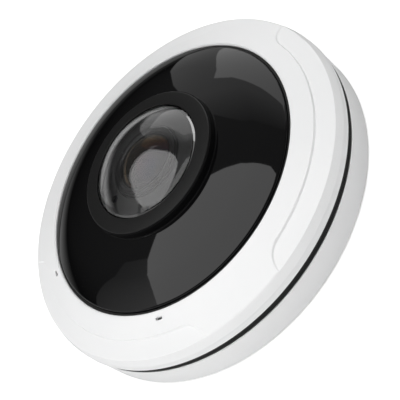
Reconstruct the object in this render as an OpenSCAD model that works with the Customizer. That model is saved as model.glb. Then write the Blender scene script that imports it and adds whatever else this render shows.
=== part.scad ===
// Round wall and ceiling camera with a fisheye lens under a clear bubble.
// The back that meets the wall is at Z 0, the lens looks along +Z, +Y is twelve o'clock.

/* [Base] */
// Diameter of the base
case_d = 150; // [147:0.5:156]
// Gap between the raised ring of the mounting plate and the bulkhead
plate_gap = 2.1; // [1.8:0.1:4]
// Thickness of the base's side wall
case_t = 3.2; // [2.8:0.1:3.6]
// Gap between the base and the wall that it hangs on
wall_gap = 0.4; // [0.3:0.1:0.6]
// Round on the base's rear edge
base_round = 1; // [0.5:0.1:1.4]
// Thickness of the base's rear land
land_t = 2.6; // [2:0.1:3]
// Width of the land that meets the wall, round the recess in the back
land_w = 17.5; // [16.5:0.5:18]
// Thickness of the recess's side wall
recess_t = 2.5; // [2:0.1:3]
// Thickness of the bulkhead that carries the boards
bulkhead_t = 2.7; // [2:0.1:3]
// Drop from the base's edge to the bulkhead's front
bulkhead_drop = 1.7; // [1.5:0.1:2.1]
// Breather vent's radius
vent_r = 4; // [3:0.1:5]

/* [Front cover] */
// How far the cover's side stands out past the base
cover_over = 0.2; // [0:0.1:0.5]
// Thickness of the cover's wall
cover_t = 2.4; // [2:0.1:2.6]
// Height of the point where face and side would meet above the cover's lower edge
cover_side_h = 6; // [5.7:0.1:6.5]
// Height of the upright part of the cover's side, below its facet
facet_up = 2.8; // [2.4:0.1:3.2]
// Lean of the facet between the cover's side and its face
facet_angle = 20; // [16:0.5:24]
// Radius that rounds the corner between facet and face
shoulder_r = 1.2; // [0.8:0.1:1.6]
// Width of the bezel, from the cover's side to the window
bezel_w = 17; // [16.6:0.1:17.4]
// Slope of the bezel
bezel_angle = 18.8; // [16:0.2:20]
// Height of the gap between base and cover
seam_h = 3.2; // [3:0.1:4]
// How far the black seal lies back from the side
seam_depth = 0.2; // [0.1:0.05:0.6]
// How far the bead on the cover's lower edge stands out
bead_out = 0.25; // [0.1:0.05:0.4]
// Height of the bead on the cover's lower edge
bead_h = 0.9; // [0.6:0.1:1.2]
// Width of each pad, in from the cover's side
pad_w = 8.7; // [7.7:0.1:9.2]
// Radius of each pad's round ends
pad_end_r = 9.5; // [8:0.1:10]
// How far the centres of the round ends lie outside the cover's side
pad_end_out = 0.8; // [0:0.1:1.5]
// Half the angle between a pad's ends
pad_half_angle = 39.5; // [36:0.5:41]
// Depth of a pad at its inner edge
pad_depth = 0.8; // [0.4:0.1:1]
// Slope of a pad's floor
pad_angle = 15; // [14:0.5:17]
// Length of a microphone slot
mic_slot_l = 3; // [2:0.1:3.2]
// Width of a microphone slot
mic_slot_w = 1.1; // [0.6:0.1:1.2]
// Angle of each microphone slot from six o'clock
mic_angle = 32.5; // [28:0.5:36]

/* [Dome window] */
// Width of the black seal line round the window
seal_line = 1.2; // [0.9:0.1:1.3]
// Thickness of the window
window_t = 2.4; // [2:0.1:2.6]
// Radius of curvature of the dome's middle
dome_r = 200; // [180:5:240]
// Radius of curvature of the dome's flank, which falls to the bezel
flank_r = 50; // [46:1:60]
// Width of the dome's flank
flank_w = 12; // [11:0.5:13]
// Height of the dome above the bezel's inner edge, at the window's edge
dome_up = 0.05; // [0.05:0.05:0.3]
// Round on the window's edge
window_round = 1; // [0.5:0.1:1.2]
// Radius of the collar round the lens
hub_r = 30.7; // [30.3:0.1:31.5]
// Height of the collar above the dome, measured at its foot
hub_h = 3; // [2.8:0.1:3.6]
// Round at the collar's foot
hub_foot_r = 2.6; // [2.2:0.1:2.8]

/* [Lens] */
// Step from the collar's edge in to the trim ring
trim_step = 0.4; // [0.1:0.1:0.8]
// Width of the trim ring's face
trim_w = 6; // [5.4:0.1:6.3]
// Height of the trim ring's outer edge
trim_edge_h = 0.5; // [0.3:0.1:0.8]
// Rise of the trim ring's face from its outer edge to its inner edge
trim_rise = 0.5; // [0.3:0.1:0.8]
// Height of the bubble above the trim ring's inner edge
bubble_h = 8.6; // [8:0.1:9.6]
// Thickness of the bubble
bubble_t = 1.8; // [1.4:0.1:2]
// Width of the bubble's flange
flange_w = 2.4; // [2:0.1:2.8]
// Thickness of the bubble's flange
flange_t = 1.4; // [1:0.1:1.6]
// Distance from the baffle's side in to the barrel
baffle_w = 7.1; // [6.9:0.1:7.5]
// Step from the barrel's front part in to its rear part
barrel_step = 3; // [2.7:0.1:3.4]
// Step from the front element's flange in to its dome
element_ledge = 1.4; // [1.2:0.1:2]
// Height of the front element's dome
element_h = 5; // [4:0.1:5.2]
// Thickness of the barrel's wall round the inner elements
barrel_t = 3.1; // [2.8:0.1:4]

/* [Boards and filter] */
// Thickness of the main board
board_t = 1.6; // [1.2:0.1:1.8]
// Gap between the main board and the bracket's posts
board_post_gap = 1.5; // [1.1:0.1:1.9]
// Width of the sensor board
sensor_board_w = 44; // [42:0.5:46]
// Thickness of the sensor board
sensor_board_t = 1.2; // [1:0.1:1.4]
// Gap between the main board and the sensor board
board_gap = 1.2; // [1.1:0.1:1.5]
// Distance between the sensor board and the bracket
bracket_up = 3.8; // [3.7:0.1:4]
// Thickness of the lens bracket
bracket_t = 1.6; // [1.2:0.1:1.8]
// Gap between the lens bracket and the window's clamp ring
bracket_gap = 4.4; // [3.8:0.1:4.8]
// Place of the LEDs between the inner and the outer edge of their board
led_share = 0.62; // [0.58:0.01:0.64]
// Gap between the LED board and the bracket's screws
led_board_gap = 1.1; // [0.7:0.1:1.6]
// Length of the filter arm between its axis and its pin
arm_l = 9; // [8.8:0.1:9.2]
// Angle that the filter arm turns to each side of its middle
arm_angle = 23; // [20:0.5:23]
// Height of the infrared-cut filter
filter_h = 8.4; // [7:0.1:8.8]
// Travel of the reset key
key_travel = 0.4; // [0.2:0.05:0.5]

/* [Mounting plate] */
// Thickness of the plate's sheet
plate_t = 1.8; // [1.5:0.1:2]
// Height of the underside of the plate's raised ring
plate_rise = 3.9; // [3.8:0.1:4.2]
// Width of the plate's flat rim, which the wall screws go through
plate_rim_w = 7.4; // [7:0.1:8]
// Width of the ring between the bayonet studs and the opening for the cable
plate_web = 11; // [10:0.5:13]
// Distance of the wall screws in from the plate's edge
wall_screw_in = 5; // [4.8:0.1:5.2]
// Radius of a wall screw's hole
wall_hole_r = 2.25; // [2:0.05:2.4]
// Distance of the bayonet studs in from the side of the plate's raised ring
stud_in = 10.6; // [9.6:0.2:11.6]
// Angle that the camera turns to leave the bayonet
twist_angle = 18; // [15:0.5:20]
// Radius of the cable gland's bore
gland_bore_r = 3.3; // [2.5:0.1:3.5]

/* [Hidden] */
$fn = 96;

// Overrun of every cut, steps of a curved outline and the common clearances
over = 1;
arc_steps = 12;
slip = 0.05;
snug = 0.1;
air = 0.3;

// Screws: shank, head and length
m3_r = 1.5;
m3_head_r = 2.75;
m3_head_h = 1.7;
m25_r = 1.25;
m25_head_r = 2.4;
m25_head_h = 1.5;
m2_r = 0.9;
m2_head_r = 1.7;
m2_head_h = 0.9;
socket_share = 0.5;

// Base
case_r = case_d / 2;
recess_r = case_r - land_w;
cavity_r = case_r - case_t;
plate_top = plate_rise + plate_t;
bulkhead_z = plate_top + plate_gap;
bulkhead_top = bulkhead_z + bulkhead_t;
base_h = bulkhead_top + bulkhead_drop;
cover_boss_angle = 45;
cover_boss_count = 4;
cover_boss_r = 4.2;
cover_boss_at = cavity_r - cover_boss_r - snug;
counterbore_h = 3.5;
third_count = 3;
stud_angle = 90;
stud_boss_r = 4.5;
stud_boss_h = 2.5;
post_angle = 30;
post_r = 3;
post_in = 3.5;
board_post_in = 4;
board_post_angle = 45;
vent_h = 1.4;
vent_rim = 1;
vent_stem_r = vent_r - vent_rim;
gland_r = 5;
gland_flange_r = 7.5;
gland_flange_h = 2.8;
gland_front = 2.1;
gland_tail = 5.2;
nut_h = 2;
nut_r = 7;
lock_angle = 180;
lock_tab_gap = 0.6;
lock_tab_h = bulkhead_z - lock_tab_gap;
lock_down = 1.3;
lock_z = lock_tab_h - lock_down;
lock_head_gap = 0.4;
lock_tip_gap = 1;
lock_tab_t = 1.8;
lock_tab_half_angle = 6;

// Mounting plate and bayonet
plate_side_gap = 1.5;
plate_r = recess_r - plate_side_gap;
plate_step_r = plate_r - plate_rim_w;
stud_at = plate_step_r - stud_in;
plate_opening_r = stud_at - plate_web;
wall_screw_at = plate_r - wall_screw_in;
gland_in = 11;
gland_place = [0, gland_in - plate_opening_r];
vent_in = 12;
vent_down = 6;
vent_place = [stud_at - vent_in, -vent_down];
stud_neck_r = 2;
stud_shoulder_r = 3.2;
stud_head_r = 3.7;
stud_head_h = 1.6;
stud_thread_h = 4;

// Front cover
cover_r = case_r + cover_over;
cover_z = base_h + seam_h;
corner_z = cover_z + cover_side_h;
bezel_slope = tan(bezel_angle);
side_r = cover_r - bead_out;
facet_z = cover_z + facet_up;
facet_lean = tan(facet_angle);
facet_top = (corner_z + (bead_out - facet_z * facet_lean) * bezel_slope) / (1 - facet_lean * bezel_slope);
facet_corner = [side_r - (facet_top - facet_z) * facet_lean, facet_top];
window_r = cover_r - bezel_w;
pad_in_r = cover_r - pad_w;
pad_end_at = cover_r + pad_end_out;
rim_z = bezel_z(window_r);
window_edge_r = window_r - seal_line;
lip_h = 2.8;
lip_z = rim_z - lip_h;
seat_w = 1.8;
seat_r = window_r + seat_w;
window_seal_t = 0.6;
seal_down = 0.8;
window_flange_t = 2;
window_flange_z = lip_z - window_seal_t - window_flange_t;
collar_w = 3.6;
collar_r = seat_r + collar_w;
clamp_t = 1.2;
clamp_z = window_flange_z - clamp_t;
clamp_ledge = 0.9;
clamp_in_r = window_edge_r - clamp_ledge;
clamp_screw_wall = 0.8;
clamp_screw_at = collar_r - m2_r - clamp_screw_wall;
clamp_screw_count = 6;
clamp_screw_l = 4.2;
cover_screw_boss_r = 3.6;
cover_screw_l = 14;
mic_at = seat_r + mic_slot_w / 2 + 2 * air;
mic_r = 2.2;
mic_h = 1.7;
mic_boot_r = 3.2;
mic_boot_h = 3;
mic_port_r = 0.4;
mic_nose_down = 0.9;

// Dome window
turn_r = window_edge_r - flank_w;
flank_at = (dome_r - flank_r) * turn_r / dome_r;
flank_up = sqrt(pow(dome_r - flank_r, 2) - pow(flank_at, 2));
dome_z = rim_z + dome_up - flank_up - sqrt(pow(flank_r, 2) - pow(window_edge_r - flank_at, 2));
hub_arc_z = dome_z + sqrt(pow(dome_r + hub_foot_r, 2) - pow(hub_r + hub_foot_r, 2));
hub_foot_angle = 180 + atan2(hub_arc_z - dome_z, hub_r + hub_foot_r);
hub_foot_out_r = (hub_r + hub_foot_r) * dome_r / (dome_r + hub_foot_r);
hub_z = dome_top(hub_r) + hub_h;
trim_r = hub_r - trim_step;
trim_in_r = trim_r - trim_w;
bubble_r = trim_in_r - snug;
flange_r = bubble_r + flange_w;
bubble_seal_t = 0.6;
bubble_flange_z = hub_z + air * 2 - flange_t;
shelf_z = bubble_flange_z - bubble_seal_t;
shelf_r = flange_r + air;
hub_bore_r = trim_in_r - air - snug;
shelf_t = 2;
hub_bottom_z = shelf_z - shelf_t;

// Stack of the boards, from the bulkhead to the bracket
pad_boss_h = 1.7;
thermal_t = 1;
processor_h = 1.4;
main_board_z = bulkhead_top + pad_boss_h + thermal_t + processor_h;
main_board_top = main_board_z + board_t;
sensor_board_z = main_board_top + board_gap;
sensor_board_top = sensor_board_z + sensor_board_t;
bracket_z = sensor_board_top + bracket_up;
bracket_top = bracket_z + bracket_t;
bracket_r = clamp_in_r - bracket_gap;
post_at = bracket_r - post_in;
board_r = post_at - post_r - board_post_gap;
board_post_at = board_r - board_post_in;

// Lens
trim_top = bubble_flange_z + flange_t + trim_edge_h;
bubble_top = trim_top + bubble_h;
bubble_cap_h = bubble_h + trim_edge_h;
bubble_sphere_r = (pow(bubble_r, 2) + pow(bubble_cap_h, 2)) / (2 * bubble_cap_h);
bubble_z = bubble_top - bubble_sphere_r;
bubble_bore_r = bubble_r - bubble_t;
baffle_t = 0.8;
baffle_wall_t = 1.5;
baffle_r = bubble_bore_r - air;
baffle_foot = 2.1;
bracket_hole_r = baffle_r - baffle_foot;
barrel_r = baffle_r - baffle_w;
barrel_rear_r = barrel_r - barrel_step;
inner_r = barrel_rear_r - barrel_t;
baffle_rise = 0.4;
baffle_top = bubble_flange_z + baffle_rise;
light_sensor_angle = -110;
light_sensor_at = (barrel_r + baffle_r) / 2;
light_sensor_r = 1.7;
light_sensor_h = 2;
light_hole_r = 1.5;
barrel_rise = 0.5;
barrel_gap = 0.2;
barrel_z = bracket_top + barrel_gap;
barrel_top = baffle_top + barrel_rise;
barrel_front_h = 6.5;
barrel_bore_r = inner_r + slip;
barrel_rim_t = 2;
element_flange_r = barrel_r - barrel_rim_t;
element_r = element_flange_r - element_ledge;
element_seat_h = 3;
element_flange_h = element_seat_h - snug;
element_sphere_r = (pow(element_r, 2) + pow(element_h, 2)) / (2 * element_h);
element_z = barrel_top + element_h - element_sphere_r;
element_rear_in = 5.5;
element_rear_r = element_flange_r - element_rear_in;
element_rear_depth = 2.4;
retainer_h = 1;
retainer_step = 0.5;
retainer_r = barrel_r - retainer_step;
retainer_in_r = element_r + air;
element_step = 1.6;
elements_l = barrel_top - element_seat_h - barrel_z - element_step;
rear_element_share = 0.365;
second_element_share = 0.39;
rear_element_h = elements_l * rear_element_share;
second_element_h = elements_l * second_element_share;
element_hollow = 0.9;

// Lens holder and filter shifter
holder_w = 32;
holder_d = 16;
holder_wall = 1.5;
holder_top = bracket_top;
holder_tube_t = 1.9;
holder_tube_gap = 1.55;
holder_tube_top = barrel_top - barrel_front_h - holder_tube_gap;
holder_tube_r = barrel_rear_r + slip + holder_tube_t;
holder_neck_in = 2.45;
holder_neck_w = 2 * (holder_tube_r - holder_neck_in);
aperture_share = 0.56;
aperture_r = inner_r * aperture_share;
sensor_size = [11, 9];
sensor_h = 1.2;
slide_t = 1.2;
slide_z = sensor_board_top + sensor_h + 2 * air;
channel_z = slide_z - air;
channel_h = slide_t + 2 * air;
filter_travel = 2 * arm_l * sin(arm_angle);
filter_rib = 1;
filter_w = filter_travel - filter_rib;
filter_t = 0.5;
frame_bar = 0.9;
frame_d = filter_h + 2 * frame_bar;
tab_w = 3.4;
pin_r = 0.6;
pin_gap = 0.15;
arm_w = 2.6;
arm_t = 0.8;
motor_r = 3.6;
motor_h = 3.9;
motor_y = 18.6;
shaft_r = 0.75;
arm_z = sensor_board_top + motor_h + air;
pin_y = motor_y - arm_l;
pin_far_y = motor_y - arm_l * cos(arm_angle);

// What the boards carry
pad_boss_w = 18;
processor_in = 20;
processor_place = [0, stud_at - processor_in];
processor_w = 14;
chip_size = [8, 11, 1];
chip_out = 17;
chip_down = 4;
chip_places = [for (side = [-1, 1]) [side * chip_out, processor_place[1] - chip_down]];
board_screw_l = 3.8;
sensor_screw_in = 5;
sensor_screw_at = sensor_board_w / 2 - sensor_screw_in;
sensor_screw_l = 3.6;
sensor_boss_r = 2.4;
bracket_screw_l = 7;
bracket_standoff_h = 1;
bracket_standoff_r = 2.4;
led_board_t = 1.6;
led_board_z = bracket_top + bracket_standoff_h;
led_board_rim = 2;
led_board_in_r = baffle_r + led_board_rim;
led_board_r = post_at - m25_head_r - led_board_gap;
led_at = led_board_in_r + (led_board_r - led_board_in_r) * led_share;
led_board_screw_in = 4;
led_board_screw_at = led_board_r - led_board_screw_in;
led_screw_angle = 90;
led_screw_l = 3;
led_count = 6;
led_w = 3.5;
led_h = 1.2;
led_lens_r = 3.6;
led_lens_h = 1.6;
led_lens_dome = 1.1;
led_lens_wall_gap = 0.3;
transformer_size = [12, 9, 5];
transformer_out = 9.5;
transformer_place = [0, sensor_board_w / 2 + transformer_out];
capacitor_r = 3.2;
capacitor_h = 5.2;
capacitor_out = 7;
capacitor_pitch = 7.5;
capacitor_places = [for (i = [-1, 1, 2]) [-sensor_board_w / 2 - capacitor_out, i * capacitor_pitch]];
cell_r = 6.2;
cell_h = 3;
cell_out = 8;
cell_down = 17;
cell_place = [sensor_board_w / 2 + cell_out, -cell_down];
socket_size = [10, 8, 3.4];
socket_in = 17;
socket_down = 17;
socket_place = [socket_in - stud_at, -socket_down];
cable_w = 12;
cable_t = 0.3;
connector_d = 3;
connector_h = 0.9;
card_w = 11;
card_l = 15;
card_t = 0.8;
card_out = 1.8;
slot_wall = 0.4;
slot_gap = 0.3;
slot_l = card_l - card_out + slot_gap + slot_wall;
slot_in = 0.5;
slot_x = board_r - slot_in;
slot_h = card_t + 2 * slot_gap + 2 * slot_wall;
switch_size = [4, 6, 3];
switch_in = 4.5;
switch_x = switch_in - board_r;
key_r = 1.2;
key_out = 3;
key_in = 1.5;

// Height of the bezel's face at a radius
function bezel_z(r) = corner_z + (cover_r - r) * bezel_slope;

// Height of the dome's face, or of a face a depth under it, at a radius
function dome_top(r, depth = 0) = r < turn_r * (1 - depth / dome_r)
    ? dome_z + sqrt(pow(dome_r - depth, 2) - pow(r, 2))
    : dome_z + flank_up + sqrt(pow(flank_r - depth, 2) - pow(r - flank_at, 2));

// Points of an arc in an outline, from one angle to another
function arc(centre, r, from, to) = [for (i = [0 : arc_steps])
    let (a = from + (to - from) * i / arc_steps) centre + r * [cos(a), sin(a)]];

// Points on the dome or under it, from one radius to another
function dome_arc(from, to, depth = 0) = [for (i = [0 : arc_steps])
    let (r = from + (to - from) * i / arc_steps) [r, dome_top(r, depth)]];

// Disc between two heights
module disc(r, z, top) {
    translate([0, 0, z]) cylinder(h = top - z, r = r);
}

// Ring between two heights
module ring(r, in_r, z, top) {
    difference() {
        disc(r, z, top);
        disc(in_r, z - over, top + over);
    }
}

// Copies at even angles round the axis, each a distance out from it
module around(count, at, angle = 0) {
    for (i = [0 : count - 1]) rotate(angle + i * 360 / count) translate([at, 0, 0]) children();
}

// Screw with its head's underside at Z 0 and its shank below
module screw(r, head_r, head_h, length) {
    difference() {
        union() {
            cylinder(h = head_h, r = head_r);
            translate([0, 0, -length]) cylinder(h = length, r = r);
        }
        translate([0, 0, head_h / 2]) cylinder(h = head_h, r = head_r * socket_share, $fn = 6);
    }
}

// Block centred on X and Y, standing on a height
module block(size, place, z) {
    translate([place[0] - size[0] / 2, place[1] - size[1] / 2, z]) cube(size);
}

// Wedge that holds an angle to each side of +X
module wedge(r, half_angle) {
    rotate([0, 0, -half_angle]) rotate_extrude(angle = 2 * half_angle) square([r, base_h]);
}

// Keyhole that a bayonet stud drops into and turns along
module keyhole() {
    slot_r = stud_neck_r + air;
    rotate_extrude(angle = twist_angle) translate([stud_at - slot_r, 0])
        square([2 * slot_r, plate_top + over]);
    translate([stud_at, 0, 0]) cylinder(h = plate_top + over, r = slot_r);
    rotate(twist_angle) translate([stud_at, 0, 0])
        cylinder(h = plate_top + over, r = stud_head_r + 2 * air);
}

module mounting_plate() color("silver") {
    difference() {
        union() {
            disc(plate_r, 0, plate_t);
            disc(plate_step_r, 0, plate_top);
            intersection() {
                ring(plate_r, plate_r - lock_tab_t, 0, lock_tab_h);
                rotate(lock_angle) wedge(case_r, lock_tab_half_angle);
            }
        }
        disc(plate_step_r - plate_t, -over, plate_rise);
        disc(plate_opening_r, 0, plate_top + over);
        around(third_count, wall_screw_at, post_angle)
            translate([0, 0, -over]) cylinder(h = plate_t + 2 * over, r = wall_hole_r);
        around(third_count, 0, stud_angle) keyhole();
    }
}

module bayonet_studs() color("gainsboro") {
    head_top = plate_rise - air;
    around(third_count, stud_at, stud_angle) {
        disc(stud_head_r, head_top - stud_head_h, head_top);
        disc(stud_neck_r, head_top, plate_top + air);
        disc(stud_shoulder_r, plate_top + air, bulkhead_z);
        disc(stud_neck_r, bulkhead_z, bulkhead_z + stud_thread_h);
    }
}

module base_profile() {
    polygon(concat(
        [[recess_r, wall_gap], [case_r - base_round, wall_gap]],
        arc([case_r - base_round, wall_gap + base_round], base_round, -90, 0),
        [[case_r, base_h], [cavity_r, base_h], [cavity_r, wall_gap + land_t],
            [recess_r + recess_t, wall_gap + land_t], [recess_r + recess_t, bulkhead_top],
            [0, bulkhead_top], [0, bulkhead_z], [recess_r, bulkhead_z]]));
}

module rear_housing() color("whitesmoke") {
    difference() {
        union() {
            rotate_extrude() base_profile();
            around(cover_boss_count, cover_boss_at, cover_boss_angle)
                disc(cover_boss_r, wall_gap, base_h);
            around(cover_boss_count, board_post_at, board_post_angle)
                disc(post_r, bulkhead_z, main_board_z);
            around(third_count, post_at, post_angle) disc(post_r, bulkhead_z, bracket_z);
            around(third_count, stud_at, stud_angle)
                disc(stud_boss_r, bulkhead_z, bulkhead_top + stud_boss_h);
            block([pad_boss_w, pad_boss_w, pad_boss_h + bulkhead_t], processor_place, bulkhead_z);
        }
        around(cover_boss_count, cover_boss_at, cover_boss_angle) {
            disc(m3_r + 2 * slip, -over, base_h + over);
            disc(m3_head_r + air, -over, wall_gap + counterbore_h);
        }
        around(cover_boss_count, board_post_at, board_post_angle)
            disc(m25_r + slip, main_board_top - board_screw_l - air, main_board_z + over);
        around(third_count, post_at, post_angle)
            disc(m25_r + slip, bracket_top - bracket_screw_l - air, bracket_z + over);
        around(third_count, stud_at, stud_angle)
            disc(stud_neck_r + slip, bulkhead_z - over, bulkhead_z + stud_thread_h + air);
        translate(gland_place) disc(gland_r + slip, bulkhead_z - over, bulkhead_top + over);
        translate(vent_place) disc(vent_stem_r + slip, bulkhead_z - over, bulkhead_top + over);
        rotate(lock_angle) translate([0, 0, lock_z]) rotate([0, 90, 0]) {
            disc(m3_r + slip, recess_r - over, case_r);
            disc(m3_head_r + air, recess_r + recess_t + over, case_r + over);
        }
    }
}

module lock_screw() color("silver") {
    tip = plate_r + lock_tip_gap;
    head_out = case_r - lock_head_gap - m3_head_h;
    rotate(lock_angle) translate([head_out, 0, lock_z]) rotate([0, 90, 0])
        screw(m3_r, m3_head_r, m3_head_h, head_out - tip);
}

module cable_gland() color("dimgray") {
    bottom = bulkhead_z - gland_tail;
    top = bulkhead_top + gland_front;
    translate(gland_place) difference() {
        union() {
            disc(gland_flange_r, bulkhead_z - gland_flange_h, bulkhead_z);
            disc(gland_r, bottom, top);
        }
        disc(gland_bore_r, bottom - over, top + over);
    }
}

module gland_nut() color("gray") {
    translate([gland_place[0], gland_place[1], bulkhead_top]) difference() {
        cylinder(h = nut_h, r = nut_r, $fn = 6);
        translate([0, 0, -over]) cylinder(h = nut_h + 2 * over, r = gland_r + slip);
    }
}

module breather_vent() color("black") {
    translate(vent_place) {
        disc(vent_stem_r, bulkhead_z, bulkhead_top);
        disc(vent_r, bulkhead_top, bulkhead_top + vent_h);
    }
}

module body_seal() color("black") {
    seal_r = case_r - seam_depth;
    ring(seal_r, cavity_r + air, base_h, cover_z);
}

// The cover's outline: bead, upright side, facet, rounded corner, face, lip and collar
module cover_profile() {
    under = cover_t / cos(bezel_angle);
    half_turn = (90 - bezel_angle - facet_angle) / 2;
    middle = facet_angle + half_turn;
    outward = [cos(middle), sin(middle)] / cos(half_turn);
    polygon(concat(
        [[side_r - cover_t, cover_z], [cover_r, cover_z], [cover_r, cover_z + bead_h / 2],
            [side_r, cover_z + bead_h], [side_r, facet_z]],
        arc(facet_corner - shoulder_r * outward, shoulder_r, facet_angle, 90 - bezel_angle),
        [[window_r, rim_z], [window_r, lip_z], [seat_r, lip_z], [seat_r, window_flange_z],
            [collar_r, window_flange_z], [collar_r, bezel_z(collar_r) - under],
            facet_corner - cover_t * outward,
            [side_r - cover_t, facet_z - cover_t * tan(facet_angle / 2)]]));
}

// One pad, sunk under a gently sloping floor
module pad() {
    floor_z = bezel_z(pad_in_r) - pad_depth;
    reach = cover_r + pad_end_r;
    intersection() {
        rotate_extrude() polygon([[0, floor_z + pad_in_r * tan(pad_angle)],
            [reach, floor_z - (reach - pad_in_r) * tan(pad_angle)],
            [reach, rim_z + over], [0, rim_z + pad_in_r * tan(pad_angle)]]);
        union() {
            rotate(-pad_half_angle) rotate_extrude(angle = 2 * pad_half_angle)
                translate([pad_in_r, cover_z]) square([reach - pad_in_r, rim_z]);
            for (side = [-1, 1]) rotate(side * pad_half_angle)
                translate([pad_end_at, 0, cover_z]) cylinder(h = rim_z, r = pad_end_r);
        }
    }
}

// Slot along the circle that the microphones lie on, narrower by a gap all round
module mic_slot(z, top, gap = 0) {
    straight = mic_slot_l - mic_slot_w;
    r = mic_slot_w / 2 - gap;
    for (side = [-1, 1]) translate([0, side * straight / 2, 0]) disc(r, z, top);
    translate([-r, -straight / 2, z]) cube([2 * r, straight, top - z]);
}

// Copies at the two microphones
module at_microphones() {
    for (side = [-1, 1]) rotate(side * mic_angle - 90) translate([mic_at, 0, 0]) children();
}

module front_cover() color("white") {
    boss_z = base_h + air;
    difference() {
        union() {
            rotate_extrude() cover_profile();
            around(cover_boss_count, cover_boss_at, cover_boss_angle)
                disc(cover_screw_boss_r, boss_z, bezel_z(cover_boss_at + cover_screw_boss_r) - pad_depth);
        }
        around(third_count, 0, post_angle) pad();
        around(cover_boss_count, cover_boss_at, cover_boss_angle)
            disc(m3_r + slip, boss_z - over, wall_gap + counterbore_h + cover_screw_l + air);
        around(clamp_screw_count, clamp_screw_at, post_angle)
            disc(m2_r + slip, window_flange_z - over, clamp_z + clamp_screw_l + air);
        at_microphones() mic_slot(window_flange_z - over, rim_z + over);
    }
}

module cover_screws() color("silver") {
    around(cover_boss_count, cover_boss_at, cover_boss_angle)
        translate([0, 0, wall_gap + counterbore_h]) mirror([0, 0, 1])
            screw(m3_r, m3_head_r, m3_head_h, cover_screw_l);
}

module window_seal() color("black") {
    seal_z = window_flange_z + window_flange_t;
    rotate_extrude() polygon([[window_edge_r + slip, seal_z], [seat_r - slip, seal_z],
        [seat_r - slip, lip_z], [window_r - slip, lip_z], [window_r - slip, rim_z - seal_down],
        [window_edge_r + slip, rim_z - seal_down]]);
}

// Outline of the window: flange, rounded edge, dome, collar and the shelf for the bubble
module window_profile() {
    round_r = window_edge_r - window_round;
    round_z = dome_top(round_r, window_round);
    round_angle = acos((round_r - flank_at) / (flank_r - window_round));
    inner_edge = window_edge_r - window_t;
    under_hub_r = hub_r - window_t;
    polygon(concat(
        [[inner_edge, window_flange_z], [seat_r - slip, window_flange_z],
            [seat_r - slip, window_flange_z + window_flange_t],
            [window_edge_r, window_flange_z + window_flange_t]],
        arc([round_r, round_z], window_round, 0, round_angle),
        dome_arc(round_r, turn_r),
        dome_arc(turn_r - flank_w / arc_steps, hub_foot_out_r),
        arc([hub_r + hub_foot_r, hub_arc_z], hub_foot_r, hub_foot_angle, 180),
        [[hub_r, hub_z], [shelf_r, hub_z], [shelf_r, shelf_z], [hub_bore_r, shelf_z],
            [hub_bore_r, hub_bottom_z], [under_hub_r, hub_bottom_z]],
        dome_arc(under_hub_r + window_t / 2, inner_edge, window_t)));
}

module dome_window() color([0.1, 0.1, 0.11]) {
    rotate_extrude() window_profile();
}

module window_clamp_ring() color("silver") {
    difference() {
        ring(collar_r, clamp_in_r, clamp_z, window_flange_z);
        around(clamp_screw_count, clamp_screw_at, post_angle)
            disc(m2_r + slip, clamp_z - over, window_flange_z + over);
        at_microphones() mic_slot(clamp_z - over, window_flange_z + over);
    }
}

module clamp_screws() color("gainsboro") {
    around(clamp_screw_count, clamp_screw_at, post_angle) translate([0, 0, clamp_z])
        mirror([0, 0, 1]) screw(m2_r, m2_head_r, m2_head_h, clamp_screw_l);
}

module mic_boots() color("dimgray") {
    nose_top = bezel_z(mic_at) - mic_nose_down;
    at_microphones() difference() {
        union() {
            disc(mic_boot_r, clamp_z - mic_boot_h, clamp_z);
            mic_slot(clamp_z - mic_boot_h + mic_h + over, nose_top, slip);
        }
        disc(mic_r + slip, clamp_z - mic_boot_h - over, clamp_z - mic_boot_h + mic_h + air);
        disc(mic_port_r, clamp_z - mic_boot_h, nose_top + over);
    }
}

module microphones() color("gold") {
    at_microphones() difference() {
        disc(mic_r, clamp_z - mic_boot_h + air, clamp_z - mic_boot_h + mic_h + air);
        disc(mic_port_r, clamp_z - mic_boot_h + mic_h, clamp_z);
    }
}

module lens_trim_ring() color("dimgray") {
    top_edge = trim_top - trim_rise;
    flange_top = bubble_flange_z + flange_t;
    rotate_extrude() polygon([[trim_in_r, flange_top], [shelf_r, flange_top],
        [shelf_r, hub_z], [trim_r, hub_z], [trim_r, top_edge - trim_edge_h / 2],
        [trim_r - trim_edge_h / 2, top_edge], [trim_in_r, trim_top]]);
}

module bubble_seal() color("black") {
    ring(flange_r, hub_bore_r + air, shelf_z, bubble_flange_z);
}

module lens_bubble() color([0.8, 0.85, 0.9, 0.5]) {
    intersection() {
        union() {
            difference() {
                translate([0, 0, bubble_z]) sphere(r = bubble_sphere_r);
                translate([0, 0, bubble_z]) sphere(r = bubble_sphere_r - bubble_t);
            }
            ring(flange_r, bubble_bore_r, bubble_flange_z, bubble_flange_z + flange_t);
        }
        disc(flange_r, bubble_flange_z, bubble_top + over);
    }
}

module lens_baffle() color([0.2, 0.2, 0.21]) {
    difference() {
        ring(baffle_r, barrel_r + air, bracket_top, baffle_top);
        disc(baffle_r - baffle_wall_t, bracket_top - over, baffle_top - baffle_t);
        rotate(light_sensor_angle) translate([light_sensor_at, 0, 0])
            disc(light_hole_r, bracket_top, baffle_top + over);
    }
}

module light_sensor() color("darkslategray") {
    rotate(light_sensor_angle) translate([light_sensor_at, 0, 0])
        disc(light_sensor_r, baffle_top - baffle_t - light_sensor_h, baffle_top - baffle_t);
}

module lens_barrel() color([0.13, 0.13, 0.14]) {
    difference() {
        union() {
            disc(barrel_rear_r, barrel_z, barrel_top - barrel_front_h);
            disc(barrel_r, barrel_top - barrel_front_h, barrel_top);
        }
        disc(aperture_r, barrel_z - over, barrel_top + over);
        disc(barrel_bore_r, barrel_z + element_step, barrel_top + over);
        disc(element_flange_r + slip, barrel_top - element_seat_h, barrel_top + over);
    }
}

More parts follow.
